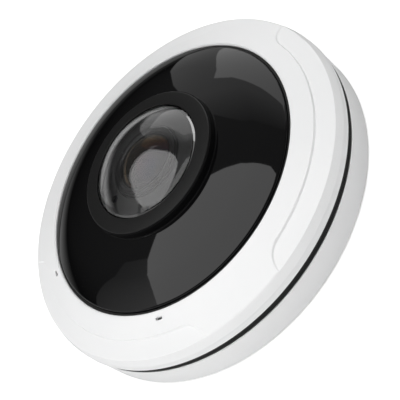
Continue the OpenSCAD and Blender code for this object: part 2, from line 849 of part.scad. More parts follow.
module retaining_ring() color([0.25, 0.25, 0.26]) {
    ring(retainer_r, retainer_in_r, barrel_top, barrel_top + retainer_h);
}

module front_element() color([0.45, 0.5, 0.65, 0.6]) {
    seat = barrel_top - element_seat_h;
    hollow_r = (pow(element_rear_r, 2) + pow(element_rear_depth, 2)) / (2 * element_rear_depth);
    difference() {
        union() {
            disc(element_flange_r, seat, seat + element_flange_h);
            intersection() {
                translate([0, 0, element_z]) sphere(r = element_sphere_r);
                disc(element_flange_r, seat + element_flange_h / 2, barrel_top + element_h + over);
            }
        }
        translate([0, 0, seat + element_rear_depth - hollow_r]) sphere(r = hollow_r);
    }
}

// Lens hollowed on its front face, standing at a height
module inner_element(z, h) {
    hollow_r = (pow(inner_r, 2) + pow(element_hollow, 2)) / (2 * element_hollow);
    difference() {
        disc(inner_r, z, z + h);
        translate([0, 0, z + h - element_hollow + hollow_r]) sphere(r = hollow_r);
    }
}

module second_element() color([0.5, 0.45, 0.6, 0.6]) {
    inner_element(barrel_top - element_seat_h - second_element_h - air, second_element_h);
}

module rear_element() color([0.6, 0.5, 0.4, 0.6]) {
    inner_element(barrel_z + element_step, rear_element_h);
}

module lens_holder() color([0.16, 0.16, 0.17]) {
    difference() {
        union() {
            block([holder_w, holder_d, bracket_z - sensor_board_top], [0, 0], sensor_board_top);
            block([holder_neck_w, holder_d, holder_top - sensor_board_top], [0, 0], sensor_board_top);
            disc(holder_tube_r, holder_top, holder_tube_top);
        }
        disc(barrel_rear_r + slip, holder_top, holder_tube_top + over);
        disc(aperture_r, channel_z, holder_top + over);
        block([holder_w - 2 * holder_wall, frame_d + 2 * air, channel_h], [0, 0], channel_z);
        block([filter_travel + tab_w + 2 * air, holder_d, channel_h], [0, holder_d / 2], channel_z);
        block([sensor_size[0] + 2 * air, sensor_size[1] + 2 * air, channel_z + over], [0, 0], 0);
    }
}

module filter_motor() color("slategray") {
    difference() {
        translate([0, motor_y, 0]) disc(motor_r, sensor_board_top, sensor_board_top + motor_h);
        translate([0, motor_y, 0])
            disc(shaft_r + slip, sensor_board_top + over, sensor_board_top + motor_h + over);
    }
}

module filter_arm() color("ivory") {
    pin_x = -filter_travel / 2;
    shaft_z = sensor_board_top + over + air;
    hull() {
        translate([0, motor_y, 0]) disc(arm_w / 2, arm_z, arm_z + arm_t);
        translate([pin_x, pin_far_y, 0]) disc(arm_w / 2, arm_z, arm_z + arm_t);
    }
    translate([0, motor_y, 0]) disc(shaft_r, shaft_z, arm_z);
    translate([pin_x, pin_far_y, 0]) disc(pin_r, slide_z, arm_z);
}

module filter_frame() color("darkgray") {
    tab_end = pin_far_y + pin_r + pin_gap + frame_bar;
    left = -filter_travel - filter_w / 2 - frame_bar;
    right = filter_w / 2 + frame_bar;
    slot_w = 2 * (pin_r + pin_gap);
    difference() {
        union() {
            translate([left, -frame_d / 2, slide_z]) cube([right - left, frame_d, slide_t]);
            translate([-(filter_travel + tab_w) / 2, 0, slide_z]) cube([tab_w, tab_end, slide_t]);
        }
        for (x = [0, -filter_travel])
            block([filter_w, filter_h, slide_t + 2 * over], [x, 0], slide_z - over);
        translate([-(filter_travel + slot_w) / 2, pin_y - pin_r - pin_gap, slide_z - over])
            cube([slot_w, pin_far_y - pin_y + slot_w, slide_t + 2 * over]);
    }
}

// Filter glass in one window of the sliding frame
module filter_glass(x) {
    block([filter_w, filter_h, filter_t], [x, 0], slide_z + (slide_t - filter_t) / 2);
}

module ir_cut_filter() color("lightseagreen") {
    filter_glass(0);
}

module clear_filter() color([0.85, 0.9, 0.9]) {
    filter_glass(-filter_travel);
}

module image_sensor() color("darkslateblue") {
    block([sensor_size[0], sensor_size[1], sensor_h], [0, 0], sensor_board_top);
}

// Copies at the sensor board's four screws
module at_sensor_screws() {
    for (x = [-1, 1], y = [-1, 1]) translate([x * sensor_screw_at, y * sensor_screw_at, 0]) children();
}

module sensor_board() color("darkgreen") {
    difference() {
        block([sensor_board_w, sensor_board_w, sensor_board_t], [0, 0], sensor_board_z);
        at_sensor_screws() disc(m2_r + slip, sensor_board_z - over, sensor_board_top + over);
    }
}

module sensor_board_screws() color("gainsboro") {
    at_sensor_screws() translate([0, 0, sensor_board_z]) mirror([0, 0, 1])
        screw(m2_r, m2_head_r, m2_head_h, sensor_screw_l);
}

module flat_cable() color("goldenrod") {
    edge = -sensor_board_w / 2;
    far = edge - connector_d - cable_t;
    top = sensor_board_top + connector_h;
    translate([-cable_w / 2, 0, 0]) {
        translate([0, edge, sensor_board_top]) cube([cable_w, connector_d, connector_h]);
        translate([0, far, sensor_board_top + connector_h / 2])
            cube([cable_w, edge - far, cable_t]);
        translate([0, far, main_board_top])
            cube([cable_w, cable_t, top - main_board_top - connector_h / 2]);
        translate([0, far, main_board_top]) cube([cable_w, connector_d, connector_h]);
    }
}

module lens_bracket() color("gainsboro") {
    difference() {
        union() {
            disc(bracket_r, bracket_z, bracket_top);
            around(third_count, led_board_screw_at, led_screw_angle)
                disc(bracket_standoff_r, bracket_z, led_board_z);
            at_sensor_screws() disc(sensor_boss_r, sensor_board_top, bracket_z + over);
        }
        disc(bracket_hole_r, bracket_z - over, bracket_top + over);
        translate([0, motor_y, 0]) disc(motor_r + arm_w, sensor_board_top, bracket_top + over);
        around(third_count, post_at, post_angle)
            disc(m25_r + slip, bracket_z - over, bracket_top + over);
        around(third_count, led_board_screw_at, led_screw_angle)
            disc(m2_r + slip, bracket_z - over, led_board_z + over);
        at_sensor_screws()
            disc(m2_r + slip, sensor_board_top - over, sensor_board_z + sensor_screw_l + air);
    }
}

module bracket_screws() color("gray") {
    around(third_count, post_at, post_angle) translate([0, 0, bracket_top])
        screw(m25_r, m25_head_r, m25_head_h, bracket_screw_l);
}

module led_board() color("darkgreen") {
    difference() {
        ring(led_board_r, led_board_in_r, led_board_z, led_board_z + led_board_t);
        around(third_count, led_board_screw_at, led_screw_angle)
            disc(m2_r + slip, led_board_z - over, led_board_z + led_board_t + over);
    }
}

module led_board_screws() color("gainsboro") {
    around(third_count, led_board_screw_at, led_screw_angle)
        translate([0, 0, led_board_z + led_board_t]) screw(m2_r, m2_head_r, m2_head_h, led_screw_l);
}

module ir_leds() color("khaki") {
    around(led_count, led_at) block([led_w, led_w, led_h], [0, 0], led_board_z + led_board_t);
}

module led_lenses() color([0.8, 0.8, 0.85, 0.7]) {
    bottom = led_board_z + led_board_t;
    dome = (pow(led_lens_r, 2) + pow(led_lens_dome, 2)) / (2 * led_lens_dome);
    pocket = led_w + 2 * led_lens_wall_gap;
    around(led_count, led_at) difference() {
        union() {
            disc(led_lens_r, bottom, bottom + led_lens_h);
            intersection() {
                translate([0, 0, bottom + led_lens_h + led_lens_dome - dome]) sphere(r = dome);
                disc(led_lens_r, bottom, bottom + led_lens_h + led_lens_dome + over);
            }
        }
        block([pocket, pocket, led_h + air + over], [0, 0], bottom - over);
    }
}

module main_board() color("green") {
    difference() {
        disc(board_r, main_board_z, main_board_top);
        around(cover_boss_count, board_post_at, board_post_angle)
            disc(m25_r + slip, main_board_z - over, main_board_top + over);
    }
}

module board_screws() color("gray") {
    around(cover_boss_count, board_post_at, board_post_angle) translate([0, 0, main_board_top])
        screw(m25_r, m25_head_r, m25_head_h, board_screw_l);
}

module processor() color([0.12, 0.12, 0.12]) {
    block([processor_w, processor_w, processor_h], processor_place, main_board_z - processor_h);
}

module thermal_pad() color("lightsteelblue") {
    block([processor_w, processor_w, thermal_t], processor_place, bulkhead_top + pad_boss_h);
}

module memory_chips() color([0.14, 0.14, 0.14]) {
    for (place = chip_places) block(chip_size, place, main_board_z - chip_size[2]);
}

module transformer() color([0.1, 0.1, 0.1]) {
    block(transformer_size, transformer_place, main_board_top);
}

module capacitors() color("steelblue") {
    for (place = capacitor_places) translate(place)
        disc(capacitor_r, main_board_top, main_board_top + capacitor_h);
}

module backup_cell() color("silver") {
    translate(cell_place) disc(cell_r, main_board_top, main_board_top + cell_h);
}

module network_socket() color("white") {
    block(socket_size, socket_place, main_board_z - socket_size[2]);
}

module card_slot() color("lightgray") {
    cavity_w = card_w + 2 * slot_gap;
    outer_w = cavity_w + 2 * slot_wall;
    difference() {
        translate([slot_x - slot_l, -outer_w / 2, main_board_top]) cube([slot_l, outer_w, slot_h]);
        translate([slot_x - slot_l + slot_wall, -cavity_w / 2, main_board_top + slot_wall])
            cube([slot_l, cavity_w, slot_h - 2 * slot_wall]);
    }
}

module memory_card() color([0.15, 0.15, 0.2]) {
    translate([slot_x + card_out - card_l, -card_w / 2, main_board_top + slot_wall + slot_gap])
        cube([card_l, card_w, card_t]);
}

// Axis of the reset key, pointing outwards
module at_reset_key() {
    translate([switch_x, 0, main_board_top + switch_size[2] / 2]) rotate([0, -90, 0]) children();
}

module reset_switch() color("dimgray") {
    depth = switch_size[0] / 2;
    difference() {
        translate([switch_x - depth, -switch_size[1] / 2, main_board_top]) cube(switch_size);
        at_reset_key() disc(key_r + slip, depth - key_in - key_travel - slip, depth + over);
    }
}

module reset_key() color("tomato") {
    depth = switch_size[0] / 2;
    at_reset_key() disc(key_r, depth - key_in, depth + key_out);
}

mounting_plate();
rear_housing();
bayonet_studs();
lock_screw();
cable_gland();
gland_nut();
breather_vent();
body_seal();
front_cover();
cover_screws();
window_seal();
dome_window();
window_clamp_ring();
clamp_screws();
mic_boots();
microphones();
lens_trim_ring();
bubble_seal();
lens_bubble();
lens_baffle();
light_sensor();
lens_barrel();
retaining_ring();
front_element();
second_element();
rear_element();
lens_holder();
filter_motor();
filter_arm();
filter_frame();
ir_cut_filter();
clear_filter();
image_sensor();
sensor_board();
sensor_board_screws();
flat_cable();
lens_bracket();
bracket_screws();
led_board();
led_board_screws();
ir_leds();
led_lenses();
main_board();
board_screws();
processor();
thermal_pad();
memory_chips();
transformer();
capacitors();
backup_cell();
network_socket();
card_slot();
memory_card();
reset_switch();
reset_key();
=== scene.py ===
import math

import bmesh
import bpy
from mathutils import Matrix, Vector


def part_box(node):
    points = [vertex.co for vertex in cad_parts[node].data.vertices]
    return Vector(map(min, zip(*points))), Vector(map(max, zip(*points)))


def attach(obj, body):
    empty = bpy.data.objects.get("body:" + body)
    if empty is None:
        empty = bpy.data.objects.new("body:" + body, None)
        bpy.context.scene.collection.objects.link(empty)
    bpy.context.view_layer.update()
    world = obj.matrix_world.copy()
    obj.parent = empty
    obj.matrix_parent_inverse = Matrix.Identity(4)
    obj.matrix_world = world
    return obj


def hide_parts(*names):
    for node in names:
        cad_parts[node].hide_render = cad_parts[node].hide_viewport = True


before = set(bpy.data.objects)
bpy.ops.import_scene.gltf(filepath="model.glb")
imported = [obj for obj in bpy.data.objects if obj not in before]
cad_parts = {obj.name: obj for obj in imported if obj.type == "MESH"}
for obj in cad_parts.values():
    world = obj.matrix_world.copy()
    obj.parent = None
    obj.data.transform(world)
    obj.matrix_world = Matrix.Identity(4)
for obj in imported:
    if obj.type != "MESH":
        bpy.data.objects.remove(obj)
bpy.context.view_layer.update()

# Mounting plate
# A disc of zinc-plated sheet steel, pressed with a raised ring and pierced with three
# keyholes. It is screwed to the wall first and the camera's studs turn into it.
mm = 0.001


def new_material(name, **plain):
    """Material whose Principled shader has these plain socket values, in words joined by _."""
    material = bpy.data.materials.new(name)
    material.use_nodes = True
    for words, value in plain.items():
        material.node_tree.nodes["Principled BSDF"].inputs[words.replace("_", " ")].default_value = value
    return material


def new_group(name, inputs, outputs):
    """Empty shader node group with float inputs and the named outputs."""
    group = bpy.data.node_groups.new(name, "ShaderNodeTree")
    for label, value in inputs.items():
        socket = group.interface.new_socket(label, in_out="INPUT", socket_type="NodeSocketFloat")
        socket.default_value = value
    for label in outputs:
        group.interface.new_socket(label, in_out="OUTPUT", socket_type="NodeSocketFloat")
    return group, group.nodes.new("NodeGroupInput"), group.nodes.new("NodeGroupOutput")


def add_node(tree, kind, links=(), **settings):
    """Node of a kind, with its settings, and links as (input, output socket or value)."""
    made = tree.nodes.new(kind)
    for key, value in settings.items():
        setattr(made, key, value)
    for key, source in dict(links).items():
        if isinstance(source, bpy.types.NodeSocket):
            tree.links.new(source, made.inputs[key])
        else:
            made.inputs[key].default_value = source
    return made


def use_group(material, group, **values):
    """Places a node group in a material with its own values and returns the node."""
    placed = material.node_tree.nodes.new("ShaderNodeGroup")
    placed.node_tree = group
    for words, value in values.items():
        placed.inputs[words.replace("_", " ")].default_value = value
    return placed


def tint(material, mask, low, high):
    """Base colour that goes from low to high with a mask."""
    tree = material.node_tree
    mix = add_node(tree, "ShaderNodeMix", {"Factor": mask}, data_type="RGBA")
    mix.inputs[6].default_value = (*low, 1)
    mix.inputs[7].default_value = (*high, 1)
    tree.links.new(mix.outputs[2], tree.nodes["Principled BSDF"].inputs["Base Color"])
    return mix.outputs[2]


def vary(material, socket, mask, low, high):
    """Roughness, or another changing socket, that goes from low to high with a mask."""
    tree = material.node_tree
    spread = add_node(tree, "ShaderNodeMapRange", {"Value": mask, "To Min": low, "To Max": high})
    tree.links.new(spread.outputs["Result"], tree.nodes["Principled BSDF"].inputs[socket])


def emboss(material, height, depth, strength=1.0):
    """Bump from a height that runs from 0 to 1, over a depth in metres."""
    tree = material.node_tree
    bump = add_node(tree, "ShaderNodeBump", {"Height": height, "Distance": depth, "Strength": strength})
    tree.links.new(bump.outputs["Normal"], tree.nodes["Principled BSDF"].inputs["Normal"])


def frequency(group, size):
    """Texture scale that gives cells of a size in metres, from a group's input."""
    return add_node(group, "ShaderNodeMath", {0: 1.0, 1: size}, operation="DIVIDE").outputs[0]


def rolled_group():
    """Fine streaks of rolled sheet along Y, and the flowered grain of its zinc."""
    group, start, end = new_group(
        "rolled_sheet", {"Streak Width": 0.12 * mm, "Crystal Size": 4 * mm}, ("Streaks", "Crystals"))
    place = add_node(group, "ShaderNodeTexCoord").outputs["Object"]
    squeezed = add_node(group, "ShaderNodeMapping", {"Vector": place, "Scale": (1, 0.03, 1)})
    noise = add_node(group, "ShaderNodeTexNoise", {
        "Vector": squeezed.outputs[0], "Scale": frequency(group, start.outputs["Streak Width"]),
        "Detail": 2.0})
    group.links.new(noise.outputs["Fac"], end.inputs["Streaks"])
    cells = add_node(group, "ShaderNodeTexVoronoi", {
        "Vector": place, "Scale": frequency(group, start.outputs["Crystal Size"])})
    grey = add_node(group, "ShaderNodeRGBToBW", {"Color": cells.outputs["Color"]})
    group.links.new(grey.outputs[0], end.inputs["Crystals"])
    return group


def dress(nodes, material):
    """Gives CAD nodes a material in all their slots."""
    for name in nodes:
        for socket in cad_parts[name].material_slots:
            socket.material = material


rolled_sheet = rolled_group()

zinc_plate = new_material("zinc_plate", Metallic=1.0)
sheet = use_group(zinc_plate, rolled_sheet, Streak_Width=0.1 * mm, Crystal_Size=3.5 * mm)
tint(zinc_plate, sheet.outputs["Crystals"], (0.47, 0.48, 0.49), (0.62, 0.63, 0.64))
vary(zinc_plate, "Roughness", sheet.outputs["Streaks"], 0.28, 0.42)
emboss(zinc_plate, sheet.outputs["Streaks"], 0.01 * mm)
dress(["mounting_plate", "window_clamp_ring", "lens_bracket"], zinc_plate)

# Studs and screws
# Turned from stainless bar, with hexagon sockets in the screws' heads. The studs are
# screwed into the housing's bosses and the screws go in from behind.


def grain_group():
    """Fine and coarse noise in real sizes: Fine is the grain, Patches drift over the piece."""
    group, start, end = new_group(
        "surface_grain", {"Grain Size": 0.5 * mm, "Patch Size": 20 * mm, "Detail": 3.0}, ("Fine", "Patches"))
    place = add_node(group, "ShaderNodeTexCoord").outputs["Object"]
    for size, output in (("Grain Size", "Fine"), ("Patch Size", "Patches")):
        noise = add_node(group, "ShaderNodeTexNoise", {
            "Vector": place, "Scale": frequency(group, start.outputs[size]),
            "Detail": start.outputs["Detail"]})
        group.links.new(noise.outputs["Fac"], end.inputs[output])
    return group


def grained(name, low, high, roughness, grain, patch, bump=0.0, strength=1.0, **plain):
    """Material whose colour drifts from low to high in patches. Its roughness and its bump, in
    millimetres like the sizes of grain and patch, follow a fine grain."""
    material = new_material(name, **plain)
    texture = use_group(material, surface_grain, Grain_Size=grain * mm, Patch_Size=patch * mm)
    tint(material, texture.outputs["Patches"], low, high)
    vary(material, "Roughness", texture.outputs["Fine"], *roughness)
    if bump:
        emboss(material, texture.outputs["Fine"], bump * mm, strength)
    return material


surface_grain = grain_group()

stainless = grained("stainless", (0.46, 0.46, 0.47), (0.6, 0.6, 0.61), (0.2, 0.36), grain=0.2, patch=3,
                    bump=0.008, Metallic=1.0)
dress(["bayonet_studs", "lock_screw", "cover_screws", "clamp_screws", "sensor_board_screws",
       "bracket_screws", "led_board_screws", "board_screws"], stainless)

# Rear housing
# A white powder-coated die casting: a shallow drum with a land that meets the wall, a round
# recess for the plate, and a bulkhead with posts. Its side shows under the seam.


def soft_outline(corners, steps=6):
    """Points of a closed outline from corners (radius, height, round), each rounded by its own radius."""
    points = []
    count = len(corners)
    for i, (r, z, rounding) in enumerate(corners):
        corner = Vector((r, z))
        back = Vector(corners[i - 1][:2]) - corner
        on = Vector(corners[(i + 1) % count][:2]) - corner
        half = back.angle(on) / 2 if back.length and on.length else math.pi / 2
        if rounding <= 0 or half > math.radians(88):
            points.append(tuple(corner))
            continue
        reach = min(rounding / math.tan(half), 0.49 * back.length, 0.49 * on.length)
        radius = reach * math.tan(half)
        middle = corner + (back.normalized() + on.normalized()).normalized() * radius / math.sin(half)
        first = corner + back.normalized() * reach - middle
        last = corner + on.normalized() * reach - middle
        turn = first.angle_signed(last)
        for k in range(steps + 1):
            turned = first.copy()
            turned.rotate(Matrix.Rotation(-turn * k / steps, 2))
            points.append(tuple(middle + turned))
    return points


def finish_mesh(name, bm, crease=30):
    """Object from a bmesh in millimetres, smooth except at edges sharper than the crease."""
    bmesh.ops.recalc_face_normals(bm, faces=bm.faces)
    mesh = bpy.data.meshes.new(name)
    bm.to_mesh(mesh)
    bm.free()
    mesh.transform(Matrix.Scale(mm, 4))
    mesh.shade_smooth()
    mesh.set_sharp_from_angle(angle=math.radians(crease))
    piece = bpy.data.objects.new(name, mesh)
    bpy.context.scene.collection.objects.link(piece)
    return piece


def turn(outline, segments=256, degrees=None):
    """Solid of revolution of a closed outline in millimetres, at even or at given angles."""
    bm = bmesh.new()
    rings = []
    angles = [math.radians(a) for a in degrees or [360 * k / segments for k in range(segments)]]
    segments = len(angles)
    for r, z in outline:
        if r < 1e-6:
            rings.append([bm.verts.new((0, 0, z))] * segments)
        else:
            rings.append([bm.verts.new((r * math.cos(a), r * math.sin(a), z)) for a in angles])
    for low, high in zip(rings, rings[1:] + rings[:1]):
        for k in range(segments):
            corners = [low[k], low[(k + 1) % segments], high[(k + 1) % segments], high[k]]
            unique = list(dict.fromkeys(corners))
            if len(unique) > 2:
                bm.faces.new(unique)
    return bm


def peg(bm, r, low, high, place=(0, 0), segments=32):
    """Adds a closed cylinder to a bmesh, between two heights."""
    middle = Matrix.Translation((place[0], place[1], (low + high) / 2))
    bmesh.ops.create_cone(bm, cap_ends=True, segments=segments, radius1=r, radius2=r,
                          depth=high - low, matrix=middle)


def polar(r, degrees):
    """Point in millimetres at a radius and an angle from +X."""
    return r * math.cos(math.radians(degrees)), r * math.sin(math.radians(degrees))


def carve(piece, tool_bm, operation="DIFFERENCE", crease=30):
    """Cuts or joins a piece with the solids in a bmesh and leaves a plain mesh."""
    tool = finish_mesh(piece.name + "_tool", tool_bm)
    cut = piece.modifiers.new("cut", "BOOLEAN")
    cut.operation = operation
    cut.object = tool
    bpy.context.view_layer.update()
    result = bpy.data.meshes.new_from_object(piece.evaluated_get(bpy.context.evaluated_depsgraph_get()))
    piece.modifiers.clear()
    piece.data = result
    result.set_sharp_from_angle(angle=math.radians(crease))
    bpy.data.objects.remove(tool)


def place_piece(piece, material, body, node):
    """Gives a new piece its material and the body that it rides on, and hides the CAD node that it stands
    for.
    """
    piece.data.materials.clear()
    piece.data.materials.append(material)
    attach(piece, body)
    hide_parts(node)


def reach(node):
    """Outer radius, lowest and highest point of a CAD node, in millimetres."""
    low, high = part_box(node)
    return high.x / mm, low.z / mm, high.z / mm


plate_r = reach("mounting_plate")[0]
seal_r, base_top, cover_z = reach("body_seal")
base_r, base_z, post_top = reach("rear_housing")
base_wall = 3.2
base_cavity_r = base_r - base_wall
recess_r = plate_r + 1.5
recess_wall = 2.5
land_t = 2.6
bulkhead_top = base_top - 1.7
bulkhead_z = bulkhead_top - 2.7
edge_round = 0.35
rear_round = 1.0
inner_round = 0.5
boss_r = 4.2
boss_at = base_cavity_r - boss_r - 0.1
boss_angles = [45 + 90 * k for k in range(4)]
counterbore_r, counterbore_h = 3.05, 3.5
screw_bore_r = 1.6
post_r = 3.0
post_at = 48.5
third_angles = [30 + 120 * k for k in range(3)]
board_post_at = 40
board_z = reach("main_board")[1]
root = 1.0
over = 1.0
gland_at, gland_bore_r = (0, -16), 5.05
vent_at, vent_bore_r = (26, -6), 3.05
lock_z, lock_bore_r = 5.9, 1.55

powder_white = grained("powder_white", (0.77, 0.775, 0.78), (0.805, 0.805, 0.805), (0.38, 0.5), grain=0.35,
                       patch=30, bump=0.02, strength=0.6, IOR=1.5)

base_bm = turn(soft_outline([
    (recess_r, base_z, 0.3), (base_r, base_z, rear_round), (base_r, base_top, edge_round),
    (base_cavity_r, base_top, edge_round), (base_cavity_r, base_z + land_t, inner_round),
    (recess_r + recess_wall, base_z + land_t, inner_round), (recess_r + recess_wall, bulkhead_top, 0.3),
    (0, bulkhead_top, 0), (0, bulkhead_z, 0), (recess_r, bulkhead_z, inner_round)]), 360)
housing = finish_mesh("rear_housing_shell", base_bm)
posts = bmesh.new()
for angle in boss_angles:
    peg(posts, boss_r, base_z + land_t / 2, base_top - 0.01, polar(boss_at, angle), 40)
    peg(posts, post_r, bulkhead_z + root, board_z, polar(board_post_at, angle))
for angle in third_angles:
    peg(posts, post_r, bulkhead_z + root, post_top, polar(post_at, angle))
carve(housing, posts, "UNION")
holes = bmesh.new()
for angle in boss_angles:
    peg(holes, counterbore_r, base_z - over, base_z + counterbore_h, polar(boss_at, angle), 40)
    peg(holes, screw_bore_r, base_z + counterbore_h - over / 2, base_top + over, polar(boss_at, angle))
peg(holes, gland_bore_r, bulkhead_z - over, bulkhead_top + over, gland_at)
peg(holes, vent_bore_r, bulkhead_z - over, bulkhead_top + over, vent_at)
carve(housing, holes)
lock_hole = bmesh.new()
lock_turn = Matrix.Rotation(math.pi / 2, 4, "Y")
for r, near, far in ((lock_bore_r, recess_r - over, base_r),
                     (counterbore_r, recess_r + recess_wall + over, base_r + over)):
    bmesh.ops.create_cone(lock_hole, cap_ends=True, segments=40, radius1=r, radius2=r, depth=far - near,
                          matrix=Matrix.Translation((-(near + far) / 2, 0, lock_z)) @ lock_turn)
carve(housing, lock_hole)
place_piece(housing, powder_white, "camera", "rear_housing")

# Cable gland, its nut and the breather vent
# Black nylon mouldings screwed into the bulkhead. The gland clamps the network cable, and
# the vent lets the housing breathe.
black_nylon = grained("black_nylon", (0.018, 0.018, 0.019), (0.032, 0.032, 0.034), (0.42, 0.6), grain=0.25,
                      patch=6, bump=0.02, IOR=1.53)
dress(["cable_gland", "gland_nut", "breather_vent"], black_nylon)

# Circuit boards
# Glass-fibre boards under green solder mask, with printed tracks and tinned pads. The main
# board sits on posts in the housing, the sensor board and the LED board on the bracket.


def board_group():
    """Tracks that run in steps along X and Y, and round tinned pads."""
    group, start, end = new_group("printed_board", {"Track Pitch": 1.3 * mm, "Pad Pitch": 2.54 * mm},
                                  ("Tracks", "Pads"))
    place = add_node(group, "ShaderNodeTexCoord").outputs["Object"]
    bricks = add_node(group, "ShaderNodeTexBrick", {
        "Vector": place, "Scale": frequency(group, start.outputs["Track Pitch"]), "Mortar Size": 0.12,
        "Mortar Smooth": 0.0, "Brick Width": 3.7, "Row Height": 0.5})
    group.links.new(bricks.outputs["Fac"], end.inputs["Tracks"])
    cells = add_node(group, "ShaderNodeTexVoronoi", {
        "Vector": place, "Scale": frequency(group, start.outputs["Pad Pitch"]), "Randomness": 0.35},
        voronoi_dimensions="2D")
    pads = add_node(group, "ShaderNodeMath", {0: cells.outputs["Distance"], 1: 0.17}, operation="LESS_THAN")
    group.links.new(pads.outputs[0], end.inputs["Pads"])
    return group


printed_board = board_group()

circuit_board = new_material("circuit_board", IOR=1.5, Coat_Weight=0.4)
print_marks = use_group(circuit_board, printed_board)
mask_colour = tint(circuit_board, print_marks.outputs["Tracks"], (0.012, 0.1, 0.045), (0.02, 0.19, 0.08))
pad_mix = add_node(circuit_board.node_tree, "ShaderNodeMix", {"Factor": print_marks.outputs["Pads"]},
                   data_type="RGBA")
pad_mix.inputs[7].default_value = (0.62, 0.6, 0.55, 1)
circuit_board.node_tree.links.new(mask_colour, pad_mix.inputs[6])
circuit_board.node_tree.links.new(
    pad_mix.outputs[2], circuit_board.node_tree.nodes["Principled BSDF"].inputs["Base Color"])
vary(circuit_board, "Metallic", print_marks.outputs["Pads"], 0.0, 1.0)
vary(circuit_board, "Roughness", print_marks.outputs["Tracks"], 0.3, 0.42)
emboss(circuit_board, print_marks.outputs["Tracks"], 0.03 * mm)
dress(["main_board", "sensor_board", "led_board"], circuit_board)

# Chips, transformer and reset switch
# Square black epoxy mouldings with a matt, faintly grainy skin, soldered flat to the
# circuit boards.
chip_epoxy = grained("chip_epoxy", (0.016, 0.016, 0.017), (0.03, 0.03, 0.031), (0.5, 0.7), grain=0.1,
                     patch=4, bump=0.015, IOR=1.5)
dress(["processor", "memory_chips", "transformer", "reset_switch"], chip_epoxy)

# Memory card and sensors
# Smooth black faces: the card is a plain moulding that slides into its slot, the image
# sensor and the light sensor are dies behind glass, soldered in place.
smooth_black = grained("smooth_black", (0.012, 0.012, 0.016), (0.022, 0.02, 0.034), (0.14, 0.26), grain=0.3,
                       patch=3, IOR=1.52, Coat_Weight=0.6)
dress(["image_sensor", "memory_card", "light_sensor"], smooth_black)

# Card slot, backup cell, motor and capacitors
# Drawn and folded cans of steel and aluminium. The motor stands beside the lens holder, the
# others are soldered to the main board.
drawn_can = new_material("drawn_can", Metallic=1.0)
can = use_group(drawn_can, rolled_sheet, Streak_Width=0.06 * mm, Crystal_Size=1.2 * mm)
tint(drawn_can, can.outputs["Crystals"], (0.5, 0.51, 0.52), (0.62, 0.62, 0.63))
vary(drawn_can, "Roughness", can.outputs["Streaks"], 0.22, 0.38)
dress(["card_slot", "backup_cell", "filter_motor", "capacitors"], drawn_can)

# Microphones
# Small gold-plated cans in rubber boots, which press them up under the two slots of the
# front cover.
gold_can = grained("gold_can", (0.75, 0.52, 0.22), (0.85, 0.62, 0.28), (0.2, 0.34), grain=0.1, patch=1.5,
                   Metallic=1.0)
dress(["microphones"], gold_can)

# Thermal pad
# Soft grey-blue silicone, squeezed between the processor and the housing's boss, which
# takes its heat.
soft_pad = grained("soft_pad", (0.26, 0.36, 0.45), (0.32, 0.42, 0.5), (0.7, 0.85), grain=0.4, patch=5,
                   bump=0.05, IOR=1.4)
dress(["thermal_pad"], soft_pad)

# Flat cable
# Copper lines between two films of amber polyimide, which run folded from the sensor board
# down to the main board.
amber_film = new_material("amber_film", IOR=1.6, Coat_Weight=0.3)
lines = use_group(amber_film, printed_board, Track_Pitch=0.6 * mm)
tint(amber_film, lines.outputs["Tracks"], (0.36, 0.16, 0.03), (0.55, 0.3, 0.06))
vary(amber_film, "Roughness", lines.outputs["Tracks"], 0.25, 0.35)
dress(["flat_cable"], amber_film)

# Acetal and nylon mouldings
# The filter's arm, the network socket and the reset key, moulded in pale or red plastic.
# The arm sits on the motor's shaft, the socket and the key's switch on the main board.


def moulded_plastic(name, low, high):
    """Matt moulded plastic whose colour drifts a little."""
    return grained(name, low, high, (0.35, 0.5), grain=0.2, patch=4, bump=0.01, IOR=1.48,
                   Subsurface_Weight=0.05, Subsurface_Scale=0.5 * mm)


dress(["filter_arm"], moulded_plastic("ivory_acetal", (0.66, 0.62, 0.52), (0.72, 0.68, 0.58)))
dress(["network_socket"], moulded_plastic("white_nylon", (0.7, 0.7, 0.67), (0.78, 0.78, 0.75)))
dress(["reset_key"], moulded_plastic("red_acetal", (0.42, 0.03, 0.02), (0.52, 0.05, 0.04)))

# Infrared LEDs, their lenses and the filters
# Pale packages soldered to their board under moulded acrylic domes, and two glass filters
# glued into the sliding frame.
led_package = grained("led_package", (0.62, 0.6, 0.5), (0.72, 0.7, 0.6), (0.2, 0.3), grain=0.15, patch=1.5,
                      IOR=1.5, Coat_Weight=0.5)
dress(["ir_leds"], led_package)


def clear_material(name, colour, ior, low, high):
    """Clear glass or plastic of a colour, with a trace of haze."""
    material = new_material(name, IOR=ior, Transmission_Weight=1.0, Base_Color=(*colour, 1))
    haze = use_group(material, surface_grain, Grain_Size=1.0 * mm, Patch_Size=8 * mm)
    vary(material, "Roughness", haze.outputs["Patches"], low, high)
    return material


dress(["led_lenses"], clear_material("clear_acrylic", (0.93, 0.93, 0.95), 1.49, 0.02, 0.06))
dress(["clear_filter"], clear_material("clear_filter_glass", (0.9, 0.95, 0.94), 1.52, 0.0, 0.02))
dress(["ir_cut_filter"], clear_material("cut_filter_glass", (0.35, 0.8, 0.76), 1.52, 0.0, 0.02))

# Body seal, bubble seal and microphone boots
# Black silicone rubber. The body seal is squeezed between housing and cover, and shows as
# the dark line round the camera's side. The bubble seal lies under the bubble's flange.
black_rubber = grained("black_rubber", (0.008, 0.008, 0.008), (0.014, 0.014, 0.014), (0.45, 0.62), grain=0.2,
                       patch=10, bump=0.01, IOR=1.45)
dress(["mic_boots", "bubble_seal"], black_rubber)

